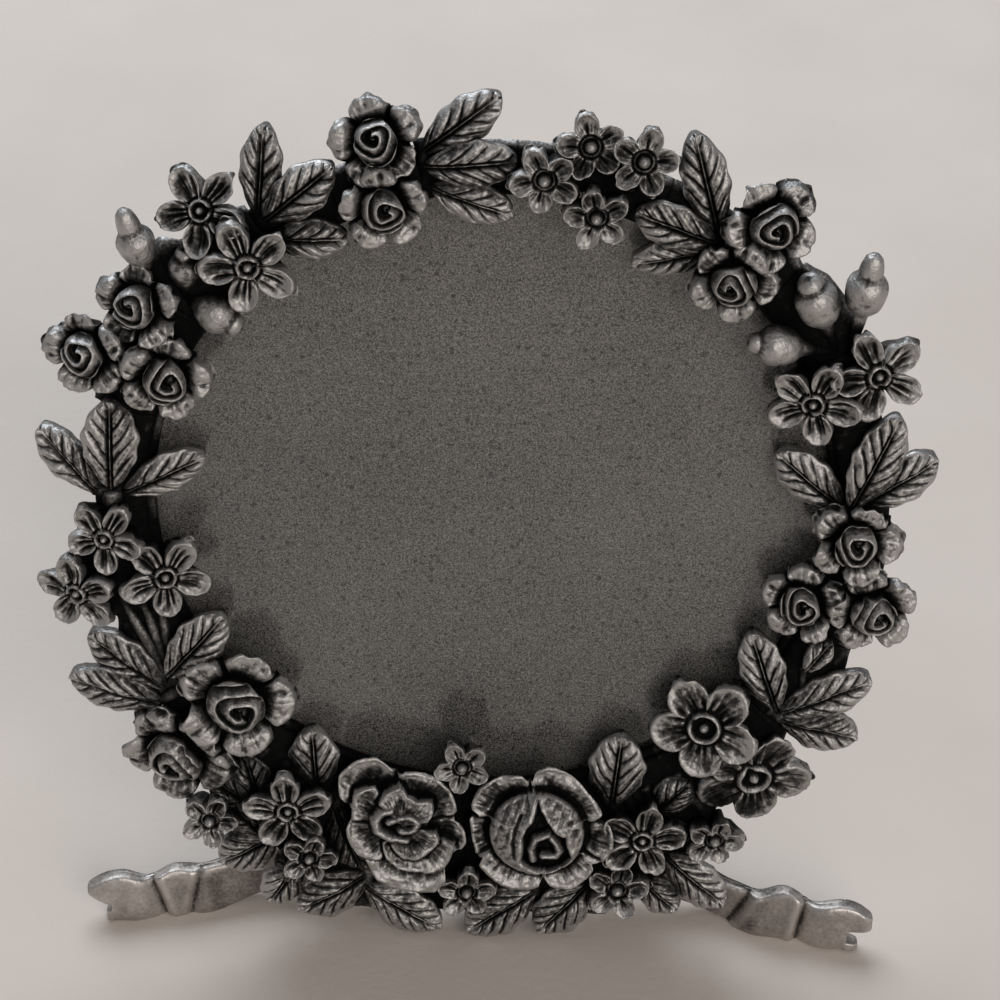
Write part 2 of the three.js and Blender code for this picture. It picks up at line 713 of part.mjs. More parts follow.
// The moving leaf: a knuckle at each end of the pin and a plate that runs down the leg.
function hingeLeafMoving() {
  const inner = hingeMiddleWidth / 2 + fitGap;
  const half = hingeWidth / 2;
  const shoulder = -knuckleRadius - fitGap;
  const plate = hingePlate([
    [-half, -hingePlateHeight], [half, -hingePlateHeight], [half, 0], [inner, 0],
    [inner, shoulder], [-inner, shoulder], [-inner, 0], [-half, 0],
  ]);
  const knuckles = [-1, 1].map((side) => {
    const ends = [side * inner, side * half].sort((a, b) => a - b);
    return solid(alongPin(bar(knuckleRadius, ends[0], ends[1], pilotSteps)));
  });
  return drilled(joined([plate, ...knuckles]), [hingeBore(), ...rivetHoles(-rivetRow)]);
}

// The pin's ends are spread into heads outside the knuckles.
function hingePin() {
  const inside = hingeWidth / 2 + fitGap;
  const outside = inside + pinHeadLength;
  const profile = [
    [0, -outside], [pinHeadRadius, -outside], [pinHeadRadius, -inside], [pinRadius, -inside],
    [pinRadius, inside], [pinHeadRadius, inside], [pinHeadRadius, outside], [0, outside],
  ];
  return alongPin(turned(profile, pilotSteps));
}

// A rivet with its head at the rear, given where the head bears and where the shank ends.
function rivet(side, y, bearing, tip) {
  const seatAt = bearing - fitGap;
  const profile = [
    [0, seatAt - rivetHeadHeight], [rivetHeadRadius, seatAt - rivetHeadHeight], [rivetHeadRadius, seatAt],
    [rivetRadius, seatAt], [rivetRadius, tip], [0, tip],
  ];
  return turned(profile, pilotSteps).translate((side * rivetSpacing) / 2, y, 0);
}

// The leg tapers from the table up to the hinge. It is drawn a little long and cut level with the table.
function easelLeg(tableCut) {
  const lean = rad(leanAngle);
  const hingeAboveTable = ringCentreHeight + hingeHeight * Math.cos(lean) + hingeDepth * Math.sin(lean);
  const reach = hingeAboveTable / Math.cos(rad(easelOpenAngle - leanAngle)) + legThickness;
  const outline = [
    new THREE.Vector2(-legTopWidth / 2, -legTopGap),
    new THREE.Vector2(-legFootWidth / 2, -reach),
    new THREE.Vector2(legFootWidth / 2, -reach),
    new THREE.Vector2(legTopWidth / 2, -legTopGap),
  ];
  const board = solid(extruded(outline, legThickness, legRear));
  return drilled(board, rivetHoles(-rivetRow)).subtract(tableCut);
}

function backingBoard() {
  const board = solid(recessDisc(backingFront, backingThickness));
  const low = backFace - 1;
  const holes = [-1, 1].map((side) => {
    const hole = bar(rivetHole, low, backFace + rivetBite + fitGap, pilotSteps);
    return solid(hole.translate((side * rivetSpacing) / 2, hingeHeight + rivetRow, 0));
  });
  return drilled(board, holes);
}

// A turn button points from its screw towards the middle of the frame.
function turnButton(clock) {
  const outline = new THREE.Shape();
  const half = buttonWidth / 2;
  outline.absarc(0, 0, half, 0, Math.PI, false);
  outline.absarc(0, half - buttonReach, half, Math.PI, 2 * Math.PI, false);
  const hole = new THREE.Path();
  hole.absarc(0, 0, screwRadius + fitGap, 0, 2 * Math.PI, true);
  outline.holes.push(hole);
  const settings = { depth: buttonThickness, bevelEnabled: false, curveSegments: 5 };
  const plate = new THREE.ExtrudeGeometry(outline, settings);
  return plate
    .translate(0, buttonPivotRadius, backFace - fitGap - buttonThickness)
    .rotateZ(rad(-clock));
}

function turnButtonScrew(clock) {
  const bearing = backFace - 2 * fitGap - buttonThickness;
  const top = bearing - screwHeadHeight;
  const tip = -ringDepth + screwBite;
  const body = turned([
    [0, top], [screwHeadRadius, top], [screwHeadRadius, bearing],
    [screwRadius, bearing], [screwRadius, tip], [0, tip],
  ], pilotSteps);
  const slot = new THREE.BoxGeometry(screwSlotWidth, 4 * screwHeadRadius, screwHeadHeight);
  const cut = solid(body).subtract(solid(slot.translate(0, 0, top)));
  return geometryOf(cut).translate(0, buttonPivotRadius, 0).rotateZ(rad(-clock));
}

// Looks
const looks = {
  antiquePewter: { color: 0x6e6a66, roughness: 0.45, metalness: 0.9 },
  satinPewter: { color: 0x8a8178, roughness: 0.5, metalness: 0.8 },
  glass: { color: 0xdfe6e6, roughness: 0.05, metalness: 0 },
  card: { color: 0x5d5750, roughness: 0.9, metalness: 0 },
  blackBoard: { color: 0x1d1c1e, roughness: 0.95, metalness: 0 },
  steel: { color: 0xb4b4b0, roughness: 0.35, metalness: 1 },
  brass: { color: 0xb08d4a, roughness: 0.35, metalness: 1 },
};

function add(group, name, piece, look) {
  const geometry = piece.isBufferGeometry ? piece : geometryOf(piece);
  const mesh = new THREE.Mesh(geometry, new THREE.MeshStandardMaterial(looks[look]));
  mesh.name = name;
  group.add(mesh);
}

// Assembly
const wreath = new THREE.Group();
wreath.rotation.x = rad(90 - leanAngle);
wreath.position.z = ringCentreHeight;
wreath.updateMatrix();
const easel = new THREE.Group();
easel.position.set(0, hingeHeight, hingeDepth);
easel.rotation.x = rad(easelOpenAngle);
easel.updateMatrix();
wreath.add(easel);

add(wreath, 'wreath_ring', wreathRing(), 'antiquePewter');

// A sprig on a lower layer is cut clear of the sprigs beside it that lie over it.
const ringClear = ringSolid(solderGap);
const neighbours = 2;
const apart = (a, b) => Math.min(Math.abs(a - b), sprigs.length - Math.abs(a - b));
sprigs.forEach((sprig, index) => {
  const over = sprigs.filter((other, place) => {
    const above = other.layer < sprig.layer || (other.layer === sprig.layer && place < index);
    return above && apart(index, place) <= neighbours;
  });
  const cutters = over.map((other) => sprigSolid(other, solderGap));
  const clear = cutters.reduce((piece, cutter) => piece.subtract(cutter), sprigSolid(sprig, 0));
  add(wreath, 'sprig_' + sprig.name, clear.subtract(ringClear), 'antiquePewter');
});

const wreathInverse = wreath.matrix.clone().invert();
const easelInverse = wreath.matrix.clone().multiply(easel.matrix).invert();
add(wreath, 'ribbon_foot_left', ribbonFoot(-1, footSweeps.left, belowTable(wreathInverse)), 'satinPewter');
add(wreath, 'ribbon_foot_right', ribbonFoot(1, footSweeps.right, belowTable(wreathInverse)), 'satinPewter');

add(wreath, 'glass', recessDisc(glassFront, glassThickness), 'glass');
add(wreath, 'picture_insert', recessDisc(insertFront, insertThickness), 'card');
add(wreath, 'backing_board', backingBoard(), 'blackBoard');

const fixedHinge = new THREE.Group();
fixedHinge.position.copy(easel.position);
wreath.add(fixedHinge);
add(fixedHinge, 'hinge_leaf_fixed', hingeLeafFixed(), 'steel');
add(fixedHinge, 'hinge_pin', hingePin(), 'steel');
add(easel, 'hinge_leaf_moving', hingeLeafMoving(), 'steel');
add(easel, 'easel_leg', easelLeg(belowTable(easelInverse)), 'blackBoard');
[['left', -1], ['right', 1]].forEach(([name, side]) => {
  const boardTip = knuckleRadius + fitGap + rivetBite;
  add(fixedHinge, 'hinge_rivet_' + name, rivet(side, rivetRow, plateRear, boardTip), 'brass');
  add(easel, 'leg_rivet_' + name, rivet(side, -rivetRow, legRear, knuckleRadius), 'brass');
});

buttonClocks.forEach((clock, index) => {
  add(wreath, 'turn_button_' + (index + 1), turnButton(clock), 'steel');
  add(wreath, 'turn_button_screw_' + (index + 1), turnButtonScrew(clock), 'brass');
});

// The frame's origin is the middle of its footprint, at table height.
const frame = new THREE.Group();
frame.add(wreath);
frame.updateMatrixWorld(true);
const box = new THREE.Box3().setFromObject(frame, true);
const middle = box.getCenter(new THREE.Vector3());
wreath.position.x -= middle.x;
wreath.position.y -= middle.y;
wreath.position.z -= box.min.z;

export default frame;
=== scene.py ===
# A small pewter picture frame: a cast wreath of flowers round a glazed opening, on two ribbon feet.
# Shapes are worked out in millimetres in the wreath's own plane: u to the right, v up the frame and
# w out of its face, from the middle of the opening. in_world leans that plane back, in metres.
import json
import math

import bpy
import numpy as np
from mathutils import Matrix, Vector


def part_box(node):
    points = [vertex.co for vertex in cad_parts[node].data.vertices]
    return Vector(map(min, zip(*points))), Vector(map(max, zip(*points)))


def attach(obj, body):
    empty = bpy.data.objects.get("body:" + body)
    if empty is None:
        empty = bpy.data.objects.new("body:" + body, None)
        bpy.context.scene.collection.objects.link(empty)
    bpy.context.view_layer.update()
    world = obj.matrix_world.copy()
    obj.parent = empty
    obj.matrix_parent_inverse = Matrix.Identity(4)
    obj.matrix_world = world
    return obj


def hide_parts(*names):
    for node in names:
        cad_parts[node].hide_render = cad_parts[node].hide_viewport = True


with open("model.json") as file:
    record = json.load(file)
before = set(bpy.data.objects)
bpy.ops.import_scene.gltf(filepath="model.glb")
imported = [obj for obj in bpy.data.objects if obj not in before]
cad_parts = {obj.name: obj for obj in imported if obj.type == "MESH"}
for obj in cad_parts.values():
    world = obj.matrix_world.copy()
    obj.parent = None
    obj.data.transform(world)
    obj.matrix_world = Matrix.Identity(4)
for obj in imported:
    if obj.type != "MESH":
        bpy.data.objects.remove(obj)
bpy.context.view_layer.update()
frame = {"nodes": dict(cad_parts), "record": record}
nodes = frame["nodes"]

# The frame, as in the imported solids.
LEAN = math.radians(10)
GLASS_MIDDLE_DEPTH = 1.85
LIP_RADIUS = 37.4
RECESS_RADIUS = 39.0
RING_RADIUS = 41.4
RING_DEPTH = 4.55
LIP_THICKNESS = 1.0
EDGE_BEVEL = 0.6
RING_FACE_MIDDLE = 39.8
RING_STEPS = 192
WEB_THICKNESS = 3.0
WEB_EDGE_ROUNDING = 0.3
WEB_STEPS = 90
WEB_DROP = 56.5
WEB_CORNERS = [(136, 42.4), (144, 48.06), (152, 53.73)]
WEB_FLAT_SHARE = 0.27
PAD_INNER = 38.2
PAD_OUTER = 44.0
PAD_LOW = 0.3
PAD_TOP = 1.6
PAD_INSET = 0.3
PAD_ROUNDING = 1.1
PAD_ROUGHNESS = 0.14
PAD_STEPS_PER_DEGREE = 2.2
PAD_ROWS = 16
WEB_PAD_ROWS = 28

# How the ornaments sit on the ring.
CROWN_RADIUS = 41.0
CROWN_HEIGHT = 2.3
CROWN_FALL = 0.05
TILT_PER_MILLIMETRE = 3.5
TILT_LIMIT = 22
BAND_LIMIT = 5.5
LEAF_TILT = 0.5
WEB_LEAF_LIFT = 1.5
VEIN_STEP = 2.0
BERRY_RISE = 12
BERRY_STALK = 0.7
BERRY_DRAW = 1.3
CAP_START = 0.94
STEM_RADIUS = 0.85
STEM_FROM_OUT = 3
LEAF_STEM_FROM_RADIUS = 42
PETALS = 5
PETAL_STEP = 2 * math.pi / PETALS
PETAL_POINT = 0.05
BUD_SHARE = 0.5
DENT_DEPTH = 0.07

# How much darker or brighter than the petals the other surfaces are.
GROUND_TONE = -0.45
STEM_TONE = -0.35
BERRY_TONE = -0.2
NECK_TONE = -0.45
STALK_TONE = -0.05
LEAF_TONE = 0.1
BIG_ROSE_TONE = 0.12

# The skins of the ornaments: how a round one draws in under its rim, in shares of its reach and drops,
# and how finely they are cut, as rings and spokes, rows and columns, or sides.
RIM_UNDERCUT = ((0.99, 0.3), (0.91, 0.9), (0.8, 1.6))
ROOT_SHARE = 0.62
ROOT_DEPTH = 1.6
ROSE_SKIN = (30, 150)
BUD_SKIN = (44, 110)
BLOSSOM_SKIN = (32, 140)
BIG_ROSE_SKIN = (70, 210)
LEAF_ROWS = 84
LEAF_COLUMNS = 61
BERRY_ROWS = 18
BERRY_SIDES = 40
TWIG_ROWS = 12
STEM_ROWS = 9
STALK_SIDES = 14

# The ribbon feet.
FOOT_START = 25.0
FOOT_LENGTH = 22.5
FOOT_HEIGHT = 6.0
FOOT_THICKNESS = 2.4
FOOT_TAB_DEPTH = -4.5
FOOT_SWEEPS = {"left": 4.5, "right": 5.8}
FOOT_SHARP_ANGLE = math.radians(60)
FOOT_SIDES = 72
FOOT_STEPS = 160
UPPER_TAIL_STEPS = 30
LOWER_TAIL_STEPS = 24
# In shares of the length: where the tab starts, how far the tails reach into the foot, how far a fold
# spreads to either side, and how soon a tail's end rounds off. Then what is left of the tail at its end.
TAB_START = -0.55
TAIL_OVERLAP = 0.01
FOLD_SOFT_SIDE = 0.06
FOLD_STEEP_SIDE = 0.02
FOLD_LIP = 0.3
TAIL_END_RATE = 16
TAIL_END_HEIGHT = 0.8
TAIL_END_THICKNESS = 0.4

# The wreath, clockwise from the top. Each sprig has the arc of its pad, then its ornaments: the kind,
# the clock angle, the distance out from the crown circle, the heading, and its sizes (across, or a
# leaf's length and width, or a berry's stalk, width and the reach of its cap in radii, or across and
# how much higher it sits).
SPRIGS = {
    "roses_top": (335, 348, [
        ("rose", 343.7, 4.6, 342, 9.4),
        ("rose", 342, -1.6, 350, 9.3),
    ]),
    "leaves_top": (348, 362, [
        ("leaf", 349, 2.6, 52, 10, 4.6),
        ("leaf", 349, 1.3, 84, 9.6, 4.9),
        ("leaf", 349.5, -1, 109.5, 9, 4.4),
    ]),
    "blossoms_top": (2, 24, [
        ("blossom", 6, 0.3, 333, 7.4),
        ("blossom", 11.3, 4, 347, 7.2),
        ("blossom", 18.5, 4, 14, 7.4),
        ("blossom", 14.9, -2.4, 348, 7),
    ]),
    "leaves_upper_right": (24, 34.5, [
        ("leaf", 32.8, 0.6, 344, 11, 4.8),
        ("leaf", 33.2, -0.2, 291, 9.1, 4.8),
        ("leaf", 34, -0.8, 254.5, 9, 4),
    ]),
    "roses_upper_right": (34.5, 46, [
        ("rose", 37.7, 4.5, 333, 9.8),
        ("rose", 39, -1.9, 27, 9.2),
    ]),
    "berries_right": (46, 60.5, [
        ("berry", 59.8, 1, 337, 7.2, 4.8, 1.5),
        ("berry", 60.6, 2.4, 5, 8, 4.6, 2.1),
        ("berry", 59.8, 1, 281, 6.8, 4.5, 1.5),
    ]),
    "blossoms_right": (60.5, 73, [
        ("flower", 64.3, 3.7, 334, 10),
        ("flower", 64.6, -3, 23, 10),
    ]),
    "leaves_right": (73, 89, [
        ("leaf", 86.4, -2.2, 308, 9.8, 5.3),
        ("leaf", 86, -1.6, 20.5, 12.2, 5.3),
        ("leaf", 85.3, -0.6, 56, 9.8, 5.5),
    ]),
    "roses_right": (89, 112, [
        ("rose", 91.4, -0.8, 20, 9.8),
        ("rose", 105.3, -4.3, 1, 9.2),
        ("rose", 103.1, 2.7, 348, 10),
    ]),
    "leaves_lower_right": (112, 128.5, [
        ("leaf", 126.1, 0.4, 340, 10.6, 5),
        ("leaf", 126.1, 0.8, 66, 11.1, 5.3),
        ("leaf", 127.3, 1.6, 108.5, 9.9, 5.3),
        ("leaf", 117.3, -0.4, 32, 4.9, 2.6),
        ("twig", 117.3, -0.4, 178, 6, 1.2),
    ]),
    "primroses": (128.5, 145, [
        ("primrose", 136.4, -4, 327, 12.6),
        ("primrose", 137.2, 4.8, 27, 13.6, -0.8),
    ]),
    "bouquet_right": (145, 163, [
        ("blossom", 146.8, 9, 17, 6.9),
        ("flower", 155.8, 5.1, 12, 10),
        ("blossom", 161.8, 11.2, 11, 7.6),
        ("leaf", 152.6, 3.1, 42, 5.6, 4.5),
        ("leaf", 158.9, 0.9, 4.5, 10.2, 6.4),
        ("leaf", 154.5, 9.8, 133.5, 10.3, 5.2),
        ("leaf", 158.8, 11.8, 136, 6.7, 4.4),
    ]),
    "bouquet_roses": (163, 201, [
        ("cabbage_rose", 170.9, 0.2, 0, 17),
        ("open_rose", 193.1, 0.5, 0, 16.8),
        ("blossom", 184.4, -8, 333, 6.6),
        ("blossom", 181.8, 9.6, 4, 7.2),
        ("leaf", 165.6, 11, 217.5, 9.5, 6),
        ("leaf", 172.8, 11.2, 232, 10.2, 6),
        ("leaf", 194.9, 12.6, 124, 11, 6),
    ]),
    "bouquet_left": (201, 219.5, [
        ("flower", 210, 4.5, 355, 10.2),
        ("blossom", 203.7, 9.5, 19, 6.8),
        ("blossom", 217.8, 11.2, 25, 6.8),
        ("leaf", 202.5, 9.7, 232.5, 6, 5.2),
        ("leaf", 203.2, 3, 160, 9.4, 5.6),
        ("leaf", 208.5, 9.9, 239.5, 7.9, 6.2),
        ("leaf", 204.2, 12.6, 210, 6.6, 5),
        ("leaf", 207.4, 1.3, 356, 8.2, 5.6),
        ("leaf", 195.2, 11.1, 236, 9.8, 6),
        ("leaf", 211.9, 7.8, 346, 8.4, 4.6),
        ("leaf", 213.8, 7.4, 307, 6.2, 4.4),
        ("leaf", 209.6, 10.4, 316, 7.2, 5),
    ]),
    "roses_lower_left": (219.5, 234, [
        ("rose", 228.9, -2.7, 20, 13.4),
        ("rose", 227.1, 7.4, 41, 13.0),
    ]),
    "leaves_lower_left": (234, 250, [
        ("leaf", 238.8, 1.8, 39.5, 10.4, 5.5),
        ("leaf", 236.9, 3, 306.5, 10.7, 5.6),
        ("leaf", 235, 4.6, 281.5, 11, 5.8),
        ("twig", 239.6, 1.9, 335, 10.9, 1.6),
        ("twig", 240.4, 1.2, 344, 10.4, 1.4),
        ("twig", 241.1, 0.4, 353, 8.4, 1.3),
    ]),
    "blossoms_left": (250, 269, [
        ("flower", 265.8, 1.6, 320, 8.4),
        ("flower", 256.3, 6, 280, 9.6),
        ("flower", 257.2, -3.5, 321, 10),
    ]),
    "leaves_left": (269, 286, [
        ("leaf", 271.9, 2.2, 318, 9.8, 4.6),
        ("leaf", 273.3, 0.9, 1.5, 10.9, 6),
        ("leaf", 272.5, -0.4, 64, 9.9, 4.6),
        ("twig", 272.4, 0.9, 176, 5.5, 2.6),
    ]),
    "roses_left": (286, 305, [
        ("rose", 303.1, 4.1, 0, 9.2),
        ("rose", 293, 6.2, 347, 9.4),
        ("rose", 295.3, -1.7, 15, 9.8),
    ]),
    "berries_left": (305, 313.5, [
        ("berry", 305.7, 3.8, 344, 6, 4.1, 2.2),
        ("berry", 307.5, 1, 4, 3.4, 3.5, 1.5),
        ("berry", 307.5, 1, 117, 4, 4.2, 1.5),
    ]),
    "blossoms_upper_left": (313.5, 323, [
        ("flower", 318.9, 5.8, 325, 9.6, -0.3),
        ("flower", 319.6, -0.6, 333, 10, 0.7),
    ]),
    "leaves_upper_left": (323, 335, [
        ("leaf", 324.2, 2, 3, 9.9, 4.3),
        ("leaf", 324.9, 1.7, 48.5, 9.4, 4.9),
        ("leaf", 323.6, 0.1, 89.5, 8.4, 4.1),
    ]),
}
# Sprigs whose ground runs further out than the rest, and how far.
WIDE_GROUND = {
    "roses_lower_left": 49.0,
    "leaves_lower_left": 46.0,
    "blossoms_left": 46.5,
    "roses_left": 46.5,
    "berries_left": 48.0,
    "blossoms_upper_left": 45.5,
    "roses_upper_right": 45.0,
    "berries_right": 45.8,
    "roses_right": 44.5,
    "primroses": 46.5,
    "leaves_lower_right": 45.5,
}
ON_WEB = ("bouquet_right", "bouquet_roses", "bouquet_left")
BIG_ROSES = ("open_rose", "cabbage_rose")
BIG_ROSE_TIP = -12

# The open rose, outermost petal first: each petal's height and the points of its rim, from the middle of
# the rose, then the two folds of its heart.
OPEN_ROSE_PETALS = [
    (1.9, [(-4.6, -4.6), (-3.9, -6.2), (-3.0, -8.0), (-1.6, -8.9), (0.6, -9.4), (3.9, -9.7), (5.8, -7.4)]),
    (2.3, [(-7.1, 1.8), (-7.5, 5.6), (-5.5, 7.5), (-3.2, 7.9), (-1.6, 6.6), (-0.3, 5.9)]),
    (2.8, [(-0.6, 6.1), (0.2, 6.3), (3.9, 5.5), (5.3, 4.3), (6.2, 2.2), (6.3, 0.6)]),
    (2.4, [(6.0, 0.4), (7.3, -1.4), (7.5, -2.9), (6.4, -4.4)]),
    (2.9, [(-6.0, 0.5), (-6.6, -1.0), (-6.2, -2.8), (-5.2, -4.4), (-2.5, -5.0)]),
    (3.1, [(-5.9, 0.2), (-5.9, 2.0), (-5.6, 3.8), (-3.3, 4.3)]),
    (3.5, [(-2.3, -2.6), (-1.8, -4.6), (-0.4, -5.8), (2.3, -6.3), (4.7, -6.1), (5.9, -3.7), (6.1, -2.7)]),
    (4.1, [(-1.3, -2.6), (0.0, -4.2), (1.7, -4.4), (3.5, -3.1), (4.3, -1.9), (3.9, -1.0)]),
    (4.3, [(-2.8, 2.6), (-2.0, 4.1), (-0.4, 5.0), (0.5, 3.7), (1.7, 3.0), (3.3, 3.0), (3.5, 1.6),
           (2.9, 0.5)]),
]
OPEN_ROSE_HEART = 3.4
OPEN_ROSE_FOLDS = [
    [(-1.4, 1.9), (-2.5, 1.6), (-3.2, 0.6), (-2.9, -0.7), (-1.6, -1.5), (0.4, -1.8)],
    [(-1.6, 0.5), (-0.5, 1.0), (0.7, 1.2), (1.7, 0.5), (1.4, -0.4), (0.6, -0.7), (-0.2, -0.6)],
]
FOLD_HEIGHT = 4.7
OPEN_ROSE_CORE = 0.36

# The closed rose: a ring of petals round a ball whose two big petals part over a hollow with a bud.
CABBAGE_PETALS = [
    (1.9, [(-7.9, 1.2), (-7.8, -1.0), (-7.3, -3.2), (-6.7, -5.2)]),
    (2.1, [(8.0, 1.2), (9.0, -1.0), (9.0, -2.9), (7.0, -5.2)]),
    (2.4, [(-7.1, -4.7), (-6.5, -5.7), (-3.3, -8.2), (-0.8, -8.4), (1.2, -7.6)]),
    (2.4, [(1.0, -7.5), (2.6, -8.0), (4.4, -8.0), (6.3, -6.3), (7.2, -4.4)]),
    (2.5, [(-7.6, 0.9), (-7.8, 2.2), (-6.9, 4.6), (-4.2, 6.2), (-1.2, 6.1)]),
    (2.7, [(-1.0, 6.5), (1.0, 7.8), (2.4, 7.4), (5.8, 4.6), (7.9, 1.2)]),
]
CABBAGE_CORE = 0.34
CABBAGE_BALL = (5.75, 5.4)
CABBAGE_BALL_DROP = 0.75
CABBAGE_HOLLOW = [
    (0.0, 3.9), (0.5, 2.75), (1.4, 1.25), (2.4, -0.1), (3.5, -0.6), (3.7, -1.8), (4.3, -3.6), (3.0, -5.1),
    (1.3, -5.6), (-0.7, -5.1), (-1.8, -4.0), (-1.6, -2.3), (-1.7, -0.75), (-1.3, 0.35), (-0.5, 1.35),
    (-0.26, 2.5),
]
CABBAGE_BUD = [
    [(1.4, -0.5), (-0.1, -1.1), (-0.6, -2.4), (-0.3, -3.9)],
    [(1.7, -0.8), (2.4, -1.7), (2.8, -2.7), (2.3, -3.4), (0.8, -3.3)],
]
CABBAGE_CREASE = [(-1.9, 1.9), (-2.5, 0.25), (-2.7, -1.35), (-2.5, -3.6)]

# Camera of the photograph, in metres and with its lens in millimetres.
ELEVATION = math.radians(40)
DISTANCE = 0.300
ROLL = math.radians(1.8)
LENS = 97.2
SENSOR_WIDTH = 36
SHIFT = (0.008, 0.007)

low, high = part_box("glass")
FACE = np.array([0, -math.cos(LEAN), math.sin(LEAN)])
MIDDLE = np.array((low + high) / 2) * 1000 + FACE * GLASS_MIDDLE_DEPTH


def in_world(points):
    """Points of the wreath's plane, in metres in the row frame."""
    u, v, w = np.asarray(points, float).T
    y = v * math.sin(LEAN) - w * math.cos(LEAN)
    z = v * math.cos(LEAN) + w * math.sin(LEAN)
    return (np.stack([u, y, z], 1) + MIDDLE) / 1000


def smooth(start, end, value):
    share = np.clip((value - start) / (end - start), 0, 1)
    return share * share * (3 - 2 * share)


def ridge(value, middle, width):
    return np.exp(-(((value - middle) / width) ** 2))


def ripple(x, y, seed, wave):
    """Gentle unevenness between -1 and 1, about a wave apart."""
    turn = 2 * math.pi / wave
    total = np.sin(turn * (0.83 * x + 0.55 * y) + 1.7 * seed)
    total = total + np.sin(turn * (-0.61 * x + 0.94 * y) + 2.9 * seed + 1)
    return (total + np.sin(turn * (1.31 * x - 0.37 * y) + 4.3 * seed + 2)) / 3


def hatching(across, along, seed):
    """Fine uneven lines along something, between -1 and 1, about a wave apart across it."""
    bend = 0.5 * np.sin(2.3 * along + seed)
    total = np.cos(6.3 * across + bend + 2 * seed) + np.cos(10.3 * across - 1.4 * bend + 5 * seed)
    return (total + np.cos(16.1 * across + bend + 3 * seed)) / 3


def on_circle(clock, radius):
    turn = math.radians(clock)
    return np.array([radius * math.sin(turn), radius * math.cos(turn)])


def spun(points, degrees, axis):
    """Points turned about one axis, as a right-handed turn."""
    turn = Matrix.Rotation(math.radians(degrees), 3, axis)
    return points @ np.array(turn).T


# Closed shapes, each as its points and its faces.

def tube(loops, closed_ends=True):
    """A skin over closed loops of equally many points. Seen from the far end the loops run clockwise."""
    loops = np.asarray(loops, float)
    rows, columns = loops.shape[:2]
    first = np.arange(rows - 1)[:, None] * columns
    here = np.arange(columns)[None, :]
    after = (here + 1) % columns
    quads = np.stack([first + here, first + after, first + columns + after, first + columns + here], -1)
    faces = quads.reshape(-1, 4).tolist()
    if closed_ends:
        faces.append(list(range(columns))[::-1])
        faces.append(list(range((rows - 1) * columns, rows * columns)))
    return loops.reshape(-1, 3), faces


def gathered(shapes):
    points, faces, start = [], [], 0
    for shape_points, shape_faces in shapes:
        points.append(shape_points)
        faces.extend([number + start for number in face] for face in shape_faces)
        start += len(shape_points)
    return np.concatenate(points), faces


def relief(outline, surface, rings, spokes):
    """A raised disc: its edge and its height are given as functions of the direction and the reach."""
    turn = np.linspace(0, 2 * math.pi, spokes, endpoint=False)
    edge = outline(turn)
    share = np.linspace(0.5 / rings, 1, rings)
    reach = share[:, None] * edge[None, :]
    turns = np.broadcast_to(turn, reach.shape)
    height = surface(reach, turns)
    loops = [ring_loop(reach, turns, height)]
    rim = height[-1]
    for inward, drop in RIM_UNDERCUT:
        loops.append(ring_loop(edge * inward, turn, np.maximum(rim - drop, -0.3 * drop))[None])
    loops.append(ring_loop(edge * ROOT_SHARE, turn, -ROOT_DEPTH)[None])
    return tube(np.concatenate(loops))


def ring_loop(reach, turn, height):
    return np.stack(np.broadcast_arrays(reach * np.sin(turn), reach * np.cos(turn), height), -1)


def petal_turn(turn):
    """The angle from the middle of the nearest petal."""
    return (turn + PETAL_STEP / 2) % PETAL_STEP - PETAL_STEP / 2


def petal_number(turn):
    return np.floor((turn + PETAL_STEP / 2) / PETAL_STEP) % PETALS


def ragged(turn, seed):
    """The small unevenness of a hand-cut rim, as a share of its reach."""
    return 1 + 0.02 * np.sin(13 * turn + 4 * seed) + 0.015 * np.sin(22 * turn + 9 * seed)


def oval_edge(turn, middle, along, wide, core):
    """How far a five-petalled outline of ovals reaches in each direction."""
    a = (np.sin(turn) / wide) ** 2 + (np.cos(turn) / along) ** 2
    b = -2 * middle * np.cos(turn) / along**2
    c = (middle / along) ** 2 - 1
    inside = np.maximum(b * b - 4 * a * c, 0)
    reach = (-b + np.sqrt(inside)) / (2 * a)
    return np.where(b * b - 4 * a * c > 0, np.maximum(reach, core), core)


def rose_petals(size, seed):
    """The five cupped petals of a small rose, each a little over the next."""
    middle, along, wide, core = 0.6, 0.46, 0.47, 0.62
    gap_turn = PETAL_STEP / 2

    def outline(turn):
        number = petal_number(turn)
        width = wide * (1 + 0.08 * np.sin(5 * number + seed))
        reach = oval_edge(petal_turn(turn), middle, along, width, core)
        return size * reach * ragged(turn, seed) * (1 + 0.07 * np.sin(2.3 * number + 3 * seed))

    def surface(reach, turn):
        lap = petal_turn(turn)
        number = petal_number(turn)
        x = reach * np.sin(lap) / size / wide
        y = (reach * np.cos(lap) / size - middle) / along
        rim = np.hypot(x, y)
        petal = 0.7 + 1.7 * smooth(-0.55, 0.3, y) - 1.2 * smooth(0.86, 1.08, rim)
        lean = (0.45 * np.sin(1.9 * number + 2 * seed) + 0.6 * lap) * smooth(-0.6, 0.4, y)
        petal = petal + lean * smooth(gap_turn, gap_turn - 0.25, np.abs(lap))
        petal = petal - 1.1 * ridge(np.abs(lap), gap_turn, 0.07)
        cleft = ridge(x, 0.5 * np.sin(2.7 * number + seed), 0.12)
        petal = petal - 0.4 * cleft * smooth(-0.2, 0.8, y)
        petal = petal + 0.08 * hatching(lap * size * 0.7, y, seed + number)
        return petal + 0.22 * ripple(x, y, seed + number, 1.7)

    return relief(outline, surface, *ROSE_SKIN)


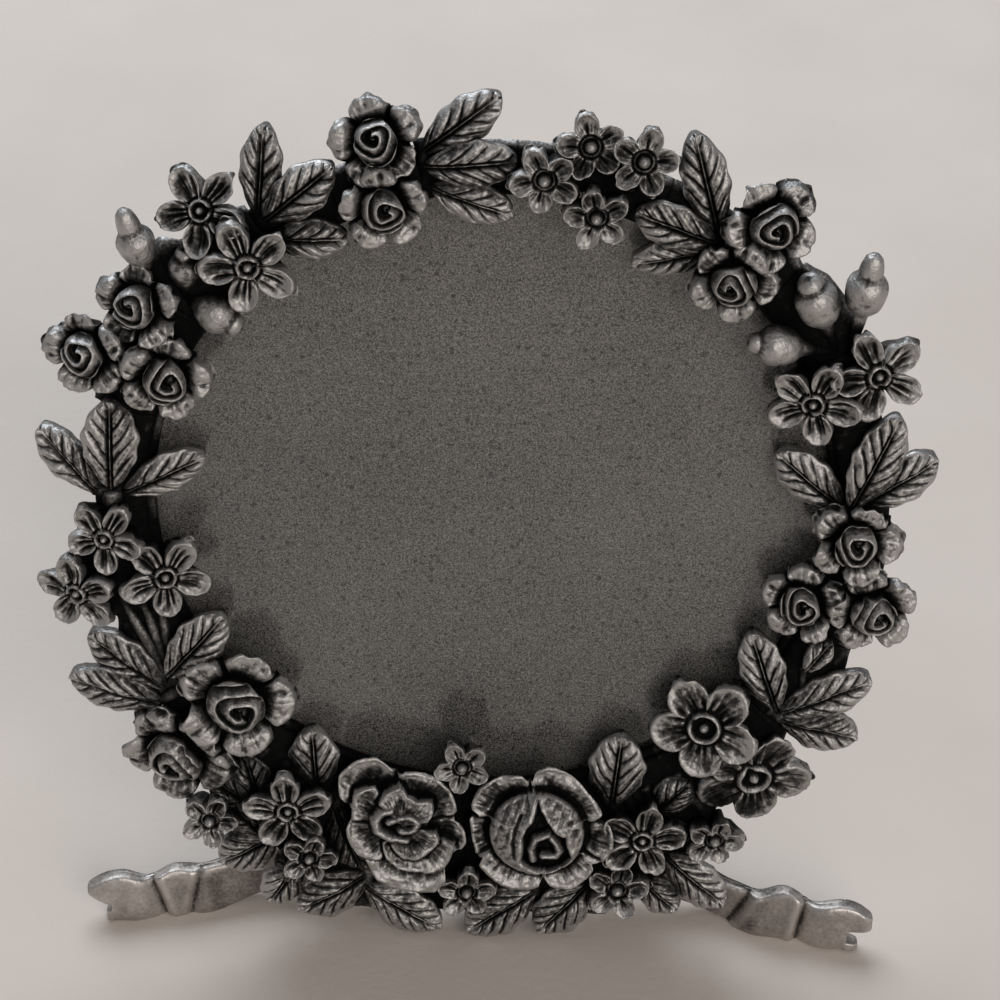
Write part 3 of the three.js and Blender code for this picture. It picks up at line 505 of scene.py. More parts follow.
def rose_bud(radius, seed):
    """A bud wrapped in petals that wind in to a dark heart set off its middle."""
    aim = 2.4 * seed
    heart_x, heart_y = 0.2 * radius * math.sin(aim), 0.2 * radius * math.cos(aim)

    def outline(turn):
        return radius * (1 + 0.07 * np.cos(2 * turn + aim))

    def surface(reach, turn):
        x, y = reach * np.sin(turn) - heart_x, reach * np.cos(turn) - heart_y
        angle = np.arctan2(x, y) - aim
        corners = 1 + 0.1 * np.cos(3 * angle + seed) + 0.06 * np.cos(2 * angle + 3 * seed)
        heart = np.hypot(x, y) / radius * corners
        lap = (angle % (2 * math.pi)) / (2 * math.pi)
        dome = 2.3 + 1.3 * np.sqrt(np.maximum(0, 1 - (reach / radius * 0.95) ** 2))
        winding = (heart - 0.08) / 0.42 - lap
        behind = winding % 1
        lip = smooth(0, 0.2, behind) * smooth(1.05, 0.3, behind)
        hollow = smooth(0, -0.3, winding)
        return dome + 0.9 * (lip - 0.6) - 1.0 * hollow + 0.1 * ripple(x, y, seed, 1.5)

    return relief(outline, surface, *BUD_SKIN)


def rose(across, seed):
    """A small open rose: cupped petals round a wrapped bud."""
    size = across / 2
    return gathered([rose_petals(size, seed), rose_bud(BUD_SHARE * size, seed)])


def five_petalled(across, seed, oval, grooves, dish, eye):
    """A flat blossom of five petals.

    oval gives the petals' middle, length and width, grooves the places of the grooves across a petal and
    how far out they run, dish how much the rim is turned up, and eye the ring and the dot in the middle:
    the ring's radius and height, then the dot's.
    """
    size = across / 2
    middle, along, wide = oval
    ring_reach, ring_height, dot_reach, dot_height = eye
    hub = ring_reach + 0.08

    def outline(turn):
        lap = petal_turn(turn)
        reach = oval_edge(lap, middle, along, wide, hub + 0.08) + PETAL_POINT * ridge(lap, 0, 0.14)
        return size * reach * ragged(turn, seed) * (1 + 0.05 * np.sin(2.9 * petal_number(turn) + seed))

    def surface(reach, turn):
        lap = petal_turn(turn)
        number = petal_number(turn)
        x = reach * np.sin(lap) / size / wide
        y = (reach * np.cos(lap) / size - middle) / along
        rim = np.hypot(x, y)
        lean = 0.35 * np.sin(1.7 * number + 3 * seed)
        petal = 2.3 + lean * (1 + 0.6 * y) + dish * (rim**2 - 0.5) - 1.5 * smooth(0.93, 1.12, rim)
        petal = petal + 0.1 * hatching(lap * size * 0.7, y, seed + number)
        places, far = grooves
        for place in places:
            stray = 0.1 * np.sin(9 * place + 4 * seed + 2 * number)
            line = ridge(x, (place + stray) * (1.15 + 0.4 * y), 0.1) * smooth(far, far - 0.7, y)
            petal = petal - 0.5 * line
        petal = petal + 0.13 * ripple(x, y, seed + number, 1.2)
        share = reach / size
        broken = 1 - 0.7 * ridge((turn + seed) % (2 * math.pi), math.pi, 0.3)
        button = 1.5 + ring_height * broken * ridge(share, ring_reach, 0.055)
        button = button + dot_height * np.sqrt(np.maximum(0, 1 - (share / dot_reach) ** 2))
        step = smooth(hub - 0.03, hub + 0.05, share)
        return button + (petal - button) * step

    return relief(outline, surface, *BLOSSOM_SKIN)


def flower(across, seed):
    grooves = ((-0.38, 0.0, 0.38), 0.6)
    return five_petalled(across, seed, (0.65, 0.41, 0.33), grooves, dish=0.8, eye=(0.22, 1.2, 0.11, 1.3))


def blossom(across, seed):
    grooves = ((0.0,), 0.5)
    return five_petalled(across, seed, (0.6, 0.41, 0.35), grooves, dish=0.9, eye=(0.27, 0.4, 0.19, 1.5))


def primrose(across, seed):
    grooves = ((-0.5, -0.17, 0.17, 0.5), 0.2)
    return five_petalled(across, seed, (0.61, 0.41, 0.4), grooves, dish=0.5, eye=(0.27, 1.3, 0.1, 1.3))


def petal_reach(turn, rim):
    """How far a petal's rim reaches in each direction, and how far inside its two ends that is."""
    rim = np.array(rim)
    angles = np.unwrap(np.arctan2(rim[:, 0], rim[:, 1]))
    order = np.argsort(angles)
    angles, radii = angles[order], np.hypot(rim[:, 0], rim[:, 1])[order]
    middle = (angles[0] + angles[-1]) / 2
    off = (turn - middle + math.pi) % (2 * math.pi) - math.pi
    half = (angles[-1] - angles[0]) / 2
    return np.interp(off, angles - middle, radii), half - np.abs(off)


def layered(petals, reach, turn, seed):
    """The highest of some cupped petals, each with a rolled rim."""
    top = np.full(reach.shape, 0.4)
    for number, (height, rim) in enumerate(petals):
        edge, inside = petal_reach(turn, rim)
        gap = np.minimum(edge - reach, inside * np.maximum(reach, 1))
        uneven = ripple(reach, turn * 4, seed + number, 2.3)
        petal = height + (0.14 + 0.12 * uneven) * ridge(gap, 0.3, 0.25) - 0.8 * smooth(0.8, 3.2, gap)
        petal = petal + 0.08 * hatching(turn * 5, reach, seed + number) * smooth(0.1, 0.8, gap)
        petal = petal + 0.16 * uneven
        top = top - 0.5 * ridge(gap, -0.2, 0.25)
        top = np.maximum(top, petal + 9 * np.clip(gap, -0.4, 0))
    return top


def layered_outline(petals, core):
    """The outline of some petals, drawn in a little at their ends, and no nearer than the core."""
    def outline(turn):
        reach = np.full(turn.shape, core)
        for _, rim in petals:
            edge, inside = petal_reach(turn, rim)
            reach = np.maximum(reach, np.where(inside > 0, edge - 1.2 * smooth(0.12, 0, inside), 0))
        return reach
    return outline


def line_distance(line, x, y):
    """How far points are from a line of straight stretches."""
    far = np.full(x.shape, 1e9)
    for (ax, ay), (bx, by) in zip(line, line[1:]):
        dx, dy = bx - ax, by - ay
        share = np.clip(((x - ax) * dx + (y - ay) * dy) / (dx * dx + dy * dy), 0, 1)
        far = np.minimum(far, np.hypot(x - ax - share * dx, y - ay - share * dy))
    return far


def inside_loop(loop, x, y):
    """How deep a point lies inside a closed loop, and negative outside it."""
    odd = np.zeros(x.shape, bool)
    closed = loop + loop[:1]
    for (ax, ay), (bx, by) in zip(closed, closed[1:]):
        crosses = (ay > y) != (by > y)
        odd ^= crosses & (x < (bx - ax) * (y - ay) / (by - ay + 1e-9) + ax)
    return np.where(odd, 1, -1) * line_distance(closed, x, y)


def open_rose(across, seed):
    """The full-blown rose: cupped petals round a folded heart."""
    def surface(reach, turn):
        x, y = reach * np.sin(turn), reach * np.cos(turn)
        top = layered(OPEN_ROSE_PETALS, reach, turn, seed)
        top = np.maximum(top, 3.1 - 2 * smooth(OPEN_ROSE_HEART - 0.6, OPEN_ROSE_HEART, reach))
        for fold in OPEN_ROSE_FOLDS:
            top = np.maximum(top, FOLD_HEIGHT - 2.4 * np.minimum(line_distance(fold, x, y), 1.3) ** 2)
        return top

    return relief(layered_outline(OPEN_ROSE_PETALS, across * OPEN_ROSE_CORE), surface, *BIG_ROSE_SKIN)


def cabbage_rose(across, seed):
    """The closed rose: a ball of two big petals parted over a hollow, in a ring of petals."""
    def surface(reach, turn):
        x, y = reach * np.sin(turn), reach * np.cos(turn)
        outer = layered(CABBAGE_PETALS, reach, turn, seed)
        outer = outer + 0.12 * hatching(turn * 7, reach, seed) * smooth(6, 7.2, reach)
        ball_share = np.hypot(x / CABBAGE_BALL[0], (y + CABBAGE_BALL_DROP) / CABBAGE_BALL[1])
        dome = 2.5 + 2.2 * np.sqrt(np.maximum(0, 1 - ball_share**2))
        deep = inside_loop(CABBAGE_HOLLOW, x, y)
        outer = outer - 0.5 * ridge(ball_share, 1.04, 0.05)
        ball = dome + (0.22 + 0.15 * ripple(x, y, seed, 4)) * ridge(deep, -0.3, 0.35)
        ball = ball - 2.0 * smooth(-0.05, 0.5, deep)
        ball = ball - 0.4 * ridge(line_distance(CABBAGE_CREASE, x, y), 0, 0.22)
        ball = ball + 0.1 * ripple(x, y, seed, 1.5) + 0.05 * hatching(x - 0.3 * y, y, seed)
        for fold in CABBAGE_BUD:
            ball = np.maximum(ball, dome - 0.35 - 3.2 * np.minimum(line_distance(fold, x, y), 1.2) ** 2)
        share = smooth(0.94, 1.0, ball_share)
        return ball + (outer - ball) * share

    return relief(layered_outline(CABBAGE_PETALS, across * CABBAGE_CORE), surface, *BIG_ROSE_SKIN)


def leaf(length, width, seed):
    """A veined leaf along y, middle at 0: two pillowed halves beside a sunk rib, narrow at its stalk."""
    along = 0.5 - 0.5 * np.cos(np.linspace(0.03, 0.985, LEAF_ROWS) * math.pi)
    across = np.linspace(-1, 1, LEAF_COLUMNS)
    across = np.sign(across) * np.abs(across) ** 1.2
    half = width / 2 * np.sin(math.pi * along**1.18) ** 0.6
    wave = np.sin(2 * math.pi * along * length / 2.7 + 5 * seed)
    half = half * (1 + 0.05 * wave * smooth(0.1, 0.3, along)) + 0.12
    x = half[:, None] * across[None, :]
    y = np.broadcast_to(((along - 0.5) * length)[:, None], x.shape)
    s = along[:, None]
    side = np.abs(across)[None, :]
    pillow = 0.5 * np.sin(math.pi * side**0.8) * np.sin(math.pi * s) ** 0.5
    vein = (s * length - 1.4 * np.abs(x) + seed) / VEIN_STEP
    vein = vein + 0.25 * np.sign(x) + 0.16 * ripple(x, y, seed, 4)
    veins = 0.08 * np.cos(2 * math.pi * vein) - 0.36 * ridge(vein % 1, 0.5, 0.07)
    veins = veins + 0.1 * hatching(0.8 * np.abs(x) - 0.5 * y, s, seed)
    veins = veins * smooth(0.02, 0.2, side) * smooth(1, 0.65, side) * smooth(0.05, 0.2, s)
    rib = 0.12 * ridge(x, 0, 0.1) - 0.7 * ridge(np.abs(x), 0.2, 0.16) * smooth(1, 0.7, s)
    bend = 0.3 * np.sin(math.pi * s) - 0.25 * side**4 + 0.3 * np.sin(2.1 * seed) * across[None, :] * s
    height = 0.8 + pillow + veins + rib + bend + 0.18 * ripple(x, y, seed, 4.4)
    top = np.stack([x, y, height], -1)
    drops = ((1.0, 0.35), (0.95, 0.8))
    right = [skirt(top[:, -1], inward, drop) for inward, drop in drops]
    left = [skirt(top[:, 0], inward, drop) for inward, drop in drops][::-1]
    root = np.full(len(along), -ROOT_DEPTH * 0.6)
    right.append(np.stack([half * 0.75, y[:, 0], root], -1))
    left.insert(0, np.stack([-half * 0.75, y[:, 0], root], -1))
    loops = np.concatenate([np.stack(left, 1), top, np.stack(right, 1)], 1)
    return tube(loops)


def skirt(edge, inward, drop):
    return np.stack([edge[:, 0] * inward, edge[:, 1], np.maximum(edge[:, 2] - drop, -0.6)], -1)


def lathe(profile, sides):
    """A turned shape about y, from its radii and places along y."""
    turn = np.linspace(0, 2 * math.pi, sides, endpoint=False)
    loops = [np.stack([r * np.sin(turn), np.full(sides, y), r * np.cos(turn)], -1) for r, y in profile]
    return tube(loops)


def berry(stalk_length, across, cap_reach, seed):
    """A plump berry with a blunt cap, drawn out to its stalk along y, middle of the berry at 0."""
    radius = across / 2
    profile = [(BERRY_STALK * 0.6, -stalk_length), (BERRY_STALK * 0.8, -stalk_length * 0.75)]
    profile.append((BERRY_STALK * 1.2, -radius * (BERRY_DRAW + 0.1)))
    for turn in np.linspace(-1.05, 0.85, BERRY_ROWS):
        swell = 1 + 0.03 * math.sin(5 * turn + seed)
        draw = BERRY_DRAW if turn < 0 else 1.05
        profile.append((radius * math.cos(turn) * swell, radius * draw * math.sin(turn)))
    cap = radius * (0.56 + 0.05 * math.sin(3 * seed))
    for out, share in ((1.08, 0), (1.05, 0.2), (0.97, 0.45), (0.78, 0.75), (0.45, 0.93), (0.03, 1)):
        profile.append((cap * out, radius * (CAP_START + (cap_reach - CAP_START) * share)))
    return lathe(profile, BERRY_SIDES)


def twig(length, width, seed):
    """A thin rough stalk along y, middle at 0, narrower towards its tip."""
    profile = []
    for share in np.linspace(0, 1, TWIG_ROWS):
        uneven = 1 + 0.12 * math.sin(8 * share + seed)
        profile.append((width / 2 * (1 - 0.4 * share) * uneven, (share - 0.5) * length))
    return lathe(profile, STALK_SIDES)


def stem(clock, radius):
    """A short rough stem from the middle of the ring out to an ornament."""
    length = radius - CROWN_RADIUS
    profile = []
    for share in np.linspace(0, 1, STEM_ROWS):
        profile.append((STEM_RADIUS * (1 + 0.12 * math.sin(9 * share + clock)), share * length))
    points, faces = lathe(profile if length > 0 else profile[::-1], STALK_SIDES)
    points = spun(points + [0, CROWN_RADIUS, PAD_TOP - STEM_RADIUS * 0.6], -clock, "Z")
    return points, faces


# Placing the ornaments on the wreath.

def dented(points):
    """Points with the small unevenness of a chased casting."""
    u, v = points[:, 0], points[:, 1]
    dents = ripple(u, v, 7, 1.4) + 0.6 * ripple(v, -u, 11, 0.9)
    return points + DENT_DEPTH * dents[:, None] * [0, 0, 1]


def placed(shape, clock, radius, heading, lift, tip):
    points, faces = shape
    points = spun(points, clock - heading, "Z")
    points = spun(points, -tip, "X")
    points = spun(points + [0, radius, lift], -clock, "Z")
    return dented(points), faces


def seat(radius):
    band = min(max(radius - CROWN_RADIUS, -BAND_LIMIT), BAND_LIMIT)
    tip = min(max(band * TILT_PER_MILLIMETRE, -TILT_LIMIT), TILT_LIMIT)
    return CROWN_HEIGHT - CROWN_FALL * band * band, tip


def clock_of(point):
    return math.degrees(math.atan2(point[0], point[1]))


ROUND = {
    "rose": rose,
    "flower": flower,
    "blossom": blossom,
    "primrose": primrose,
    "open_rose": open_rose,
    "cabbage_rose": cabbage_rose,
}


def ornament(kind, clock, out, heading, sizes, on_web, seed):
    """The shapes of one ornament in its place, each with its tone, and a stem where its pad ends."""
    radius = CROWN_RADIUS + out
    start = on_circle(clock, radius)
    if kind in ("leaf", "twig"):
        length, width = sizes
        middle = start + on_circle(heading, length / 2)
        reach = np.hypot(*middle)
        lift, tip = seat(reach)
        lift = WEB_LEAF_LIFT if on_web else lift
        tip = 0 if on_web else tip * LEAF_TILT
        if kind == "twig":
            shape = twig(length, width, seed)
            return [(placed(shape, clock_of(middle), reach, heading, PAD_TOP, tip), STEM_TONE)]
        shapes = [(placed(leaf(length, width, seed), clock_of(middle), reach, heading, lift, tip), LEAF_TONE)]
        return shapes + ([(stem(clock, radius + 1), STEM_TONE)] if radius > LEAF_STEM_FROM_RADIUS else [])
    if kind == "berry":
        stalk_length, across, cap_reach = sizes
        middle = start + on_circle(heading, stalk_length)
        lift = PAD_TOP - BERRY_STALK / 2 + stalk_length * math.sin(math.radians(BERRY_RISE))
        points, faces = berry(stalk_length, across, cap_reach, seed)
        along = points[:, 1] / (across / 2)
        tone = BERRY_TONE + NECK_TONE * ridge(along, CAP_START, 0.14) + STALK_TONE * smooth(-1, -1.4, along)
        shape = (spun(points, BERRY_RISE, "X"), faces)
        return [(placed(shape, clock_of(middle), np.hypot(*middle), heading, lift, 0), tone)]
    lift, tip = seat(radius)
    if on_web:
        lift = CROWN_HEIGHT
        tip = BIG_ROSE_TIP if kind in BIG_ROSES or out < 0 else 0
    lift = lift + sum(sizes[1:])
    tone = BIG_ROSE_TONE if kind in BIG_ROSES else 0
    shapes = [(placed(ROUND[kind](sizes[0], seed), clock, radius, heading, lift, tip), tone)]
    return shapes + ([(stem(clock, radius), STEM_TONE)] if abs(out) > STEM_FROM_OUT else [])


def web_reach(clock):
    """How far the web's outline is from the middle of the opening, at clock angles."""
    corners = [on_circle(*corner) for corner in WEB_CORNERS]
    corners.append(np.array([WEB_FLAT_SHARE * WEB_DROP, -WEB_DROP]))
    corners += [corner * [-1, 1] for corner in corners[::-1]]
    share = np.linspace(0, 1, 40)[:, None]
    line = np.concatenate([a + (b - a) * share for a, b in zip(corners, corners[1:])])
    angles = np.degrees(np.arctan2(line[:, 0], line[:, 1])) % 360
    return np.interp(clock, angles, np.hypot(line[:, 0], line[:, 1]))


def pad(start, end, on_web, reach):
    """The rough ground of a sprig: a band on the ring, and over the web for the bouquet."""
    steps = int((end - start) * PAD_STEPS_PER_DEGREE) + 2
    clocks = np.linspace(start, end, steps)
    share = np.linspace(0, 1, steps)
    outer = PAD_OUTER + (reach - PAD_OUTER) * (0.5 + 0.5 * smooth(0, 0.25, share) * smooth(1, 0.75, share))
    if on_web:
        outer = np.maximum(outer, web_reach(clocks) - PAD_INSET)
    across = np.linspace(0, 1, WEB_PAD_ROWS if on_web else PAD_ROWS)
    turn = np.radians(clocks)
    loops = []
    for share in across:
        radius = PAD_INNER + (outer - PAD_INNER) * share
        u, v = radius * np.sin(turn), radius * np.cos(turn)
        top = PAD_TOP - PAD_ROUNDING * abs(2 * share - 1) ** 2.5 + PAD_ROUGHNESS * ripple(u, v, 3, 1.7)
        loops.append(np.stack([u, v, top], -1))
    for share in (0.98, 0.02):
        radius = PAD_INNER + (outer - PAD_INNER) * share
        loops.append(ring_loop(radius, turn, PAD_LOW))
    return tube(np.stack(loops, 1)[:, ::-1])


def wreath_ring():
    """The ring with its lip and recess, and the web."""
    bevel = EDGE_BEVEL
    section = [(RECESS_RADIUS, -RING_DEPTH), (RING_RADIUS, -RING_DEPTH), (RING_RADIUS, -bevel)]
    section += [(RING_RADIUS - bevel * 0.3, -bevel * 0.3), (RING_RADIUS - bevel, 0)]
    section += [(RING_FACE_MIDDLE, 0), (LIP_RADIUS + bevel, 0), (LIP_RADIUS + bevel * 0.3, -bevel * 0.3)]
    section += [(LIP_RADIUS, -bevel), (LIP_RADIUS, -LIP_THICKNESS), (RECESS_RADIUS, -LIP_THICKNESS)]
    turn = np.linspace(0, 2 * math.pi, RING_STEPS, endpoint=False)
    loops = [ring_loop(radius, turn, w) for radius, w in section + section[:1]]
    return gathered([tube(np.array(loops)[::-1], closed_ends=False), web()])


def web():
    """The plate under the bouquet, from the middle of the ring out."""
    clocks = np.linspace(WEB_CORNERS[0][0], 360 - WEB_CORNERS[0][0], WEB_STEPS)
    reach = web_reach(clocks)
    turn = np.radians(clocks)
    rounding = WEB_EDGE_ROUNDING
    section = [(0, 0), (0.5, 0), (0.97, 0), (1, -rounding), (1, rounding - WEB_THICKNESS)]
    section += [(0.97, -WEB_THICKNESS), (0, -WEB_THICKNESS)]
    loops = [ring_loop(CROWN_RADIUS + (reach - CROWN_RADIUS) * share, turn, w) for share, w in section]
    return tube(np.stack(loops, 1)[:, ::-1])


# Ribbon feet. Their lines are in shares of the length, and of the sweep or the height.

FOOT_RUN = [(-0.6, 0), (-0.13, 0), (0.1, 0.05), (0.27, 0.35), (0.38, 0.58), (0.5, 0.63), (0.6, 0.74),
            (0.73, 0.95), (0.84, 0.93), (1.05, 1)]
FOOT_TOPS = {
    "left": [(-0.56, 1.67), (-0.2, 1.6), (0, 1.45), (0.22, 1.22), (0.4, 1.12), (0.55, 1.18), (0.67, 0.93),
             (0.8, 1.13), (0.9, 1.05), (1, 0.82)],
    "right": [(-0.56, 1.67), (-0.2, 1.6), (0, 1.4), (0.22, 1.05), (0.4, 0.98), (0.52, 1.2), (0.58, 1.16),
              (0.67, 0.93), (0.8, 1.08), (0.9, 1.05), (1, 0.82)],
}
FOOT_UNDER = [(-0.56, 0.6), (-0.05, 0.48), (0.32, 0), (1, 0)]
# The tails: where the notch ends, the underside of the upper tail and the top of the lower one.
FOOT_TAILS = {
    "left": (0.872, [(0.7, 0.3), (0.872, 0.36), (0.918, 0.44), (1, 0.66)],
             [(0.7, 0.4), (0.872, 0.3), (0.905, 0.2)]),
    "right": (0.869, [(0.7, 0.3), (0.869, 0.45), (1, 0.48)], [(0.7, 0.4), (0.869, 0.2), (0.934, 0.17)]),
}
# The creases: their place and slant, their depth, and the side that stands proud (1 is towards the tip).
FOOT_CREASES = {
    "left": [(0.617, 0.074, 0.9, -1), (0.425, -0.06, 0.55, 1)],
    "right": [(0.29, 0.105, 0.7, 1), (0.62, 0.04, 1.0, -1)],
}


def read_off(line, share):
    return np.interp(share, [point[0] for point in line], [point[1] for point in line])


def eased(line, share, reach=0.035):
    """A line of points read off with its corners rounded."""
    return sum(read_off(line, share + shift) for shift in np.linspace(-reach, reach, 7)) / 7


def strap_section(count):
    """Evenly spaced points round a rounded oblong, from -1 to 1 across and upright."""
    turn = np.linspace(0, 2 * math.pi, 721)
    across = np.sign(np.cos(turn)) * np.abs(np.cos(turn)) ** 0.35
    upright = np.sign(np.sin(turn)) * np.abs(np.sin(turn)) ** 0.3
    steps = np.hypot(np.diff(across) * FOOT_THICKNESS, np.diff(upright) * FOOT_HEIGHT)
    run = np.concatenate([[0], np.cumsum(steps)])
    even = np.linspace(0, run[-1], count, endpoint=False)
    return np.interp(even, run, across), np.interp(even, run, upright)


def strap(side, sweep, shares, top_line, under_line, folds, tail):
    """A length of ribbon on edge: rounded edges, a wavy run, pressed-in folds, and a round end to a tail."""
    across, upright = strap_section(FOOT_SIDES)
    base = -MIDDLE[2] / math.cos(LEAN)
    loops = []
    for share in shares:
        u = FOOT_START + share * FOOT_LENGTH
        w = FOOT_TAB_DEPTH + sweep * eased(FOOT_RUN, share)
        top = base + FOOT_HEIGHT * eased(top_line, share)
        under = base + FOOT_HEIGHT * eased(under_line, share)
        from_end = min(1, (shares[-1] - share) * TAIL_END_RATE) if tail else 1
        full = math.sqrt(1 - (1 - from_end) ** 2)
        tall = TAIL_END_HEIGHT + (1 - TAIL_END_HEIGHT) * full
        thick = TAIL_END_THICKNESS + (1 - TAIL_END_THICKNESS) * full
        height = (top + under) / 2 + upright * (top - under) / 2 * tall
        depth = w + across * FOOT_THICKNESS / 2 * thick
        level = (height - under) / (top - under)
        for place, slant, deep, proud in folds:
            past = proud * (place + slant * (level - 0.5) - share)
            sunk = np.where(past > 0, np.exp(-past / FOLD_SOFT_SIDE), np.exp(past / FOLD_STEEP_SIDE))
            sunk = sunk - FOLD_LIP * ridge(past, -0.04, 0.03)
            depth = depth - deep * sunk * (across > 0)
        table = -(MIDDLE[2] + depth * math.sin(LEAN)) / math.cos(LEAN)
        loops.append(np.stack([np.full(len(across), side * u), np.maximum(height, table), depth], -1))
    loops = np.array(loops)
    return tube(loops if side < 0 else loops[:, ::-1])


def ribbon_foot(name):
    side = -1 if name == "left" else 1
    sweep = FOOT_SWEEPS[name]
    notch, upper_under, lower_top = FOOT_TAILS[name]
    top = FOOT_TOPS[name]
    shares = np.linspace(TAB_START, notch, FOOT_STEPS)
    upper_shares = np.linspace(notch - TAIL_OVERLAP, 1, UPPER_TAIL_STEPS)
    lower_shares = np.linspace(notch - TAIL_OVERLAP, lower_top[-1][0], LOWER_TAIL_STEPS)
    main = strap(side, sweep, shares, top, FOOT_UNDER, FOOT_CREASES[name], False)
    upper = strap(side, sweep, upper_shares, top, upper_under, [], True)
    lower = strap(side, sweep, lower_shares, lower_top, FOOT_UNDER, [], True)
    return gathered([main, upper, lower])


# The dark antiquing: how much lower a point lies than what is round it. With it go painted shade under
# covering parts and painted highlights on exposed edges and the upper rim.

MAP_STEP = 0.15
MAP_CELLS = 832
MAP_EMPTY = -2.5
BLURS = ((0.9, 0.36), (2.4, 0.2))
CREASE_WEIGHT = 2.6
CREASE_LIMIT = 0.25
CREASE_ROUNDS = 6
# Painted shade under covering parts: how far below the top a point starts to darken, and how strongly.
SHADE_COVER_START = 0.35
UNDERSIDE_SHADE_WEIGHT = 0.45
RISE_LIMIT = 1.5
BASE_WEAR = 0.33
BACK_WEAR = 0.64
# Rubbed edges, partly real wear and partly painted highlight, and the painted highlight on the upper rim.
EDGE_WEAR_AND_HIGHLIGHT = 0.8
FOOT_WEAR = 0.79
FOOT_CREASE_LIMIT = 0.2
# Painted shade on the faces of the feet turned away from the front.
FOOT_EDGE_SHADE = -0.2
# Painted shadow darkening the feet near the wreath.
FOOT_ROOT_SHADOW = -0.27


def height_map(shapes):
    """The highest point over each cell of the wreath's plane."""
    field = np.full((MAP_CELLS, MAP_CELLS), MAP_EMPTY)
    for points, _ in shapes:
        cells = np.clip((points[:, :2] / MAP_STEP + MAP_CELLS / 2).astype(int), 0, MAP_CELLS - 1)
        np.maximum.at(field, (cells[:, 0], cells[:, 1]), points[:, 2])
    filled = field.copy()
    for down in (-1, 0, 1):
        for over in (-1, 0, 1):
            filled = np.maximum(filled, np.roll(field, (down, over), (0, 1)))
    return np.where(field > MAP_EMPTY, field, filled)


def blurred(field, width):
    wave = np.fft.fftfreq(MAP_CELLS, MAP_STEP)
    fade = np.exp(-2 * (math.pi * width) ** 2 * (wave[:, None] ** 2 + wave[None, :] ** 2))
    return np.real(np.fft.ifft2(np.fft.fft2(field) * fade))


def read_map(field, points):
    place = np.clip(points[:, :2] / MAP_STEP + MAP_CELLS / 2 - 0.5, 0, MAP_CELLS - 2)
    cell = place.astype(int)
    share = place - cell
    row, column = cell.T
    near = field[row, column] * (1 - share[:, 1]) + field[row, column + 1] * share[:, 1]
    far = field[row + 1, column] * (1 - share[:, 1]) + field[row + 1, column + 1] * share[:, 1]
    return near * (1 - share[:, 0]) + far * share[:, 0]


def four_sided(faces):
    return np.array([face for face in faces if len(face) == 4])


def creases(shape):
    """How much lower each point lies than its neighbours on the skin."""
    points, faces = shape
    height = points[:, 2]
    quads = four_sided(faces)
    near = np.concatenate([quads, quads])
    far = np.concatenate([np.roll(quads, 1, 1), np.roll(quads, -1, 1)])
    near, far = near.ravel(), far.ravel()
    count = np.maximum(np.bincount(near, minlength=len(points)), 1)
    level = height
    for _ in range(CREASE_ROUNDS):
        level = np.bincount(near, level[far], len(points)) / count
    return level - height


def facing(shape):
    """How far the skin faces out of the wreath at each point: 1 straight out, -1 straight back."""
    points, faces = shape
    quads = four_sided(faces)
    corners = points[quads]
    normals = np.cross(corners[:, 2] - corners[:, 0], corners[:, 3] - corners[:, 1])
    corner = quads.ravel()
    total = [np.bincount(corner, np.repeat(normals[:, axis], 4), len(points)) for axis in range(3)]
    return total[2] / np.maximum(np.sqrt(total[0] ** 2 + total[1] ** 2 + total[2] ** 2), 1e-9)


def wear_and_shade(shape, tone, field, maps):
    """Below 0 in the deepest hollows, above 1 on the most exposed edges, plain grey behind: patina in the
    hollows, painted shade under covering parts, and rubbed edges that also carry a painted highlight.
    """
    points = shape[0]
    outside = smooth(CROWN_RADIUS - 1, CROWN_RADIUS, np.hypot(points[:, 0], points[:, 1]))
    exposed = outside * smooth(1.8, 0.4, read_map(maps[-1][0], points))
    value = BASE_WEAR + tone * (1 - 0.7 * exposed)
    value = value - CREASE_WEIGHT * np.clip(creases(shape), -CREASE_LIMIT, CREASE_LIMIT)
    for smoothed, weight in maps:
        value = value + weight * np.clip(points[:, 2] - read_map(smoothed, points), -RISE_LIMIT, RISE_LIMIT)
    # Painted shade: darker where a point lies well under the top of the parts over it, less so on exposed
    # edges.
    shaded_depth = read_map(field, points) - points[:, 2]
    value = value - UNDERSIDE_SHADE_WEIGHT * np.clip(shaded_depth - SHADE_COVER_START, 0, 1) * (1 - exposed)
    out = facing(shape)
    v, w = points[:, 1], points[:, 2]
    outer_wall = outside * smooth(0.3, -0.8, w)
    # Exposed sides are rubbed bright, partly real wear and partly a painted highlight; the upper outer rim of
    # the ring and pads gets a painted highlight.
    rubbed_and_highlit = smooth(0.85, 0.2, out) * exposed
    painted_rim_highlight = (tone == GROUND_TONE) * outside * smooth(1.4, 0.8, w) * smooth(0, 20, v)
    value = value + (EDGE_WEAR_AND_HIGHLIGHT - value) * np.maximum(rubbed_and_highlit, painted_rim_highlight)
    plain = np.maximum(smooth(0.05, -0.4, out), smooth(0.5, -0.2, out) * outer_wall)
    return value + (BACK_WEAR - value) * plain


def foot_wear_and_shade(shape):
    along = (np.abs(shape[0][:, 0]) - FOOT_START) / FOOT_LENGTH
    value = FOOT_WEAR - CREASE_WEIGHT * np.clip(creases(shape), -FOOT_CREASE_LIMIT, FOOT_CREASE_LIMIT)
    # Painted shadow near the wreath, fading out along the foot.
    value = value + FOOT_ROOT_SHADOW * smooth(0.58, 0.32, along)
    # Painted shade on faces turned away from the front.
    return value + FOOT_EDGE_SHADE * smooth(0.6, 0.1, facing(shape))


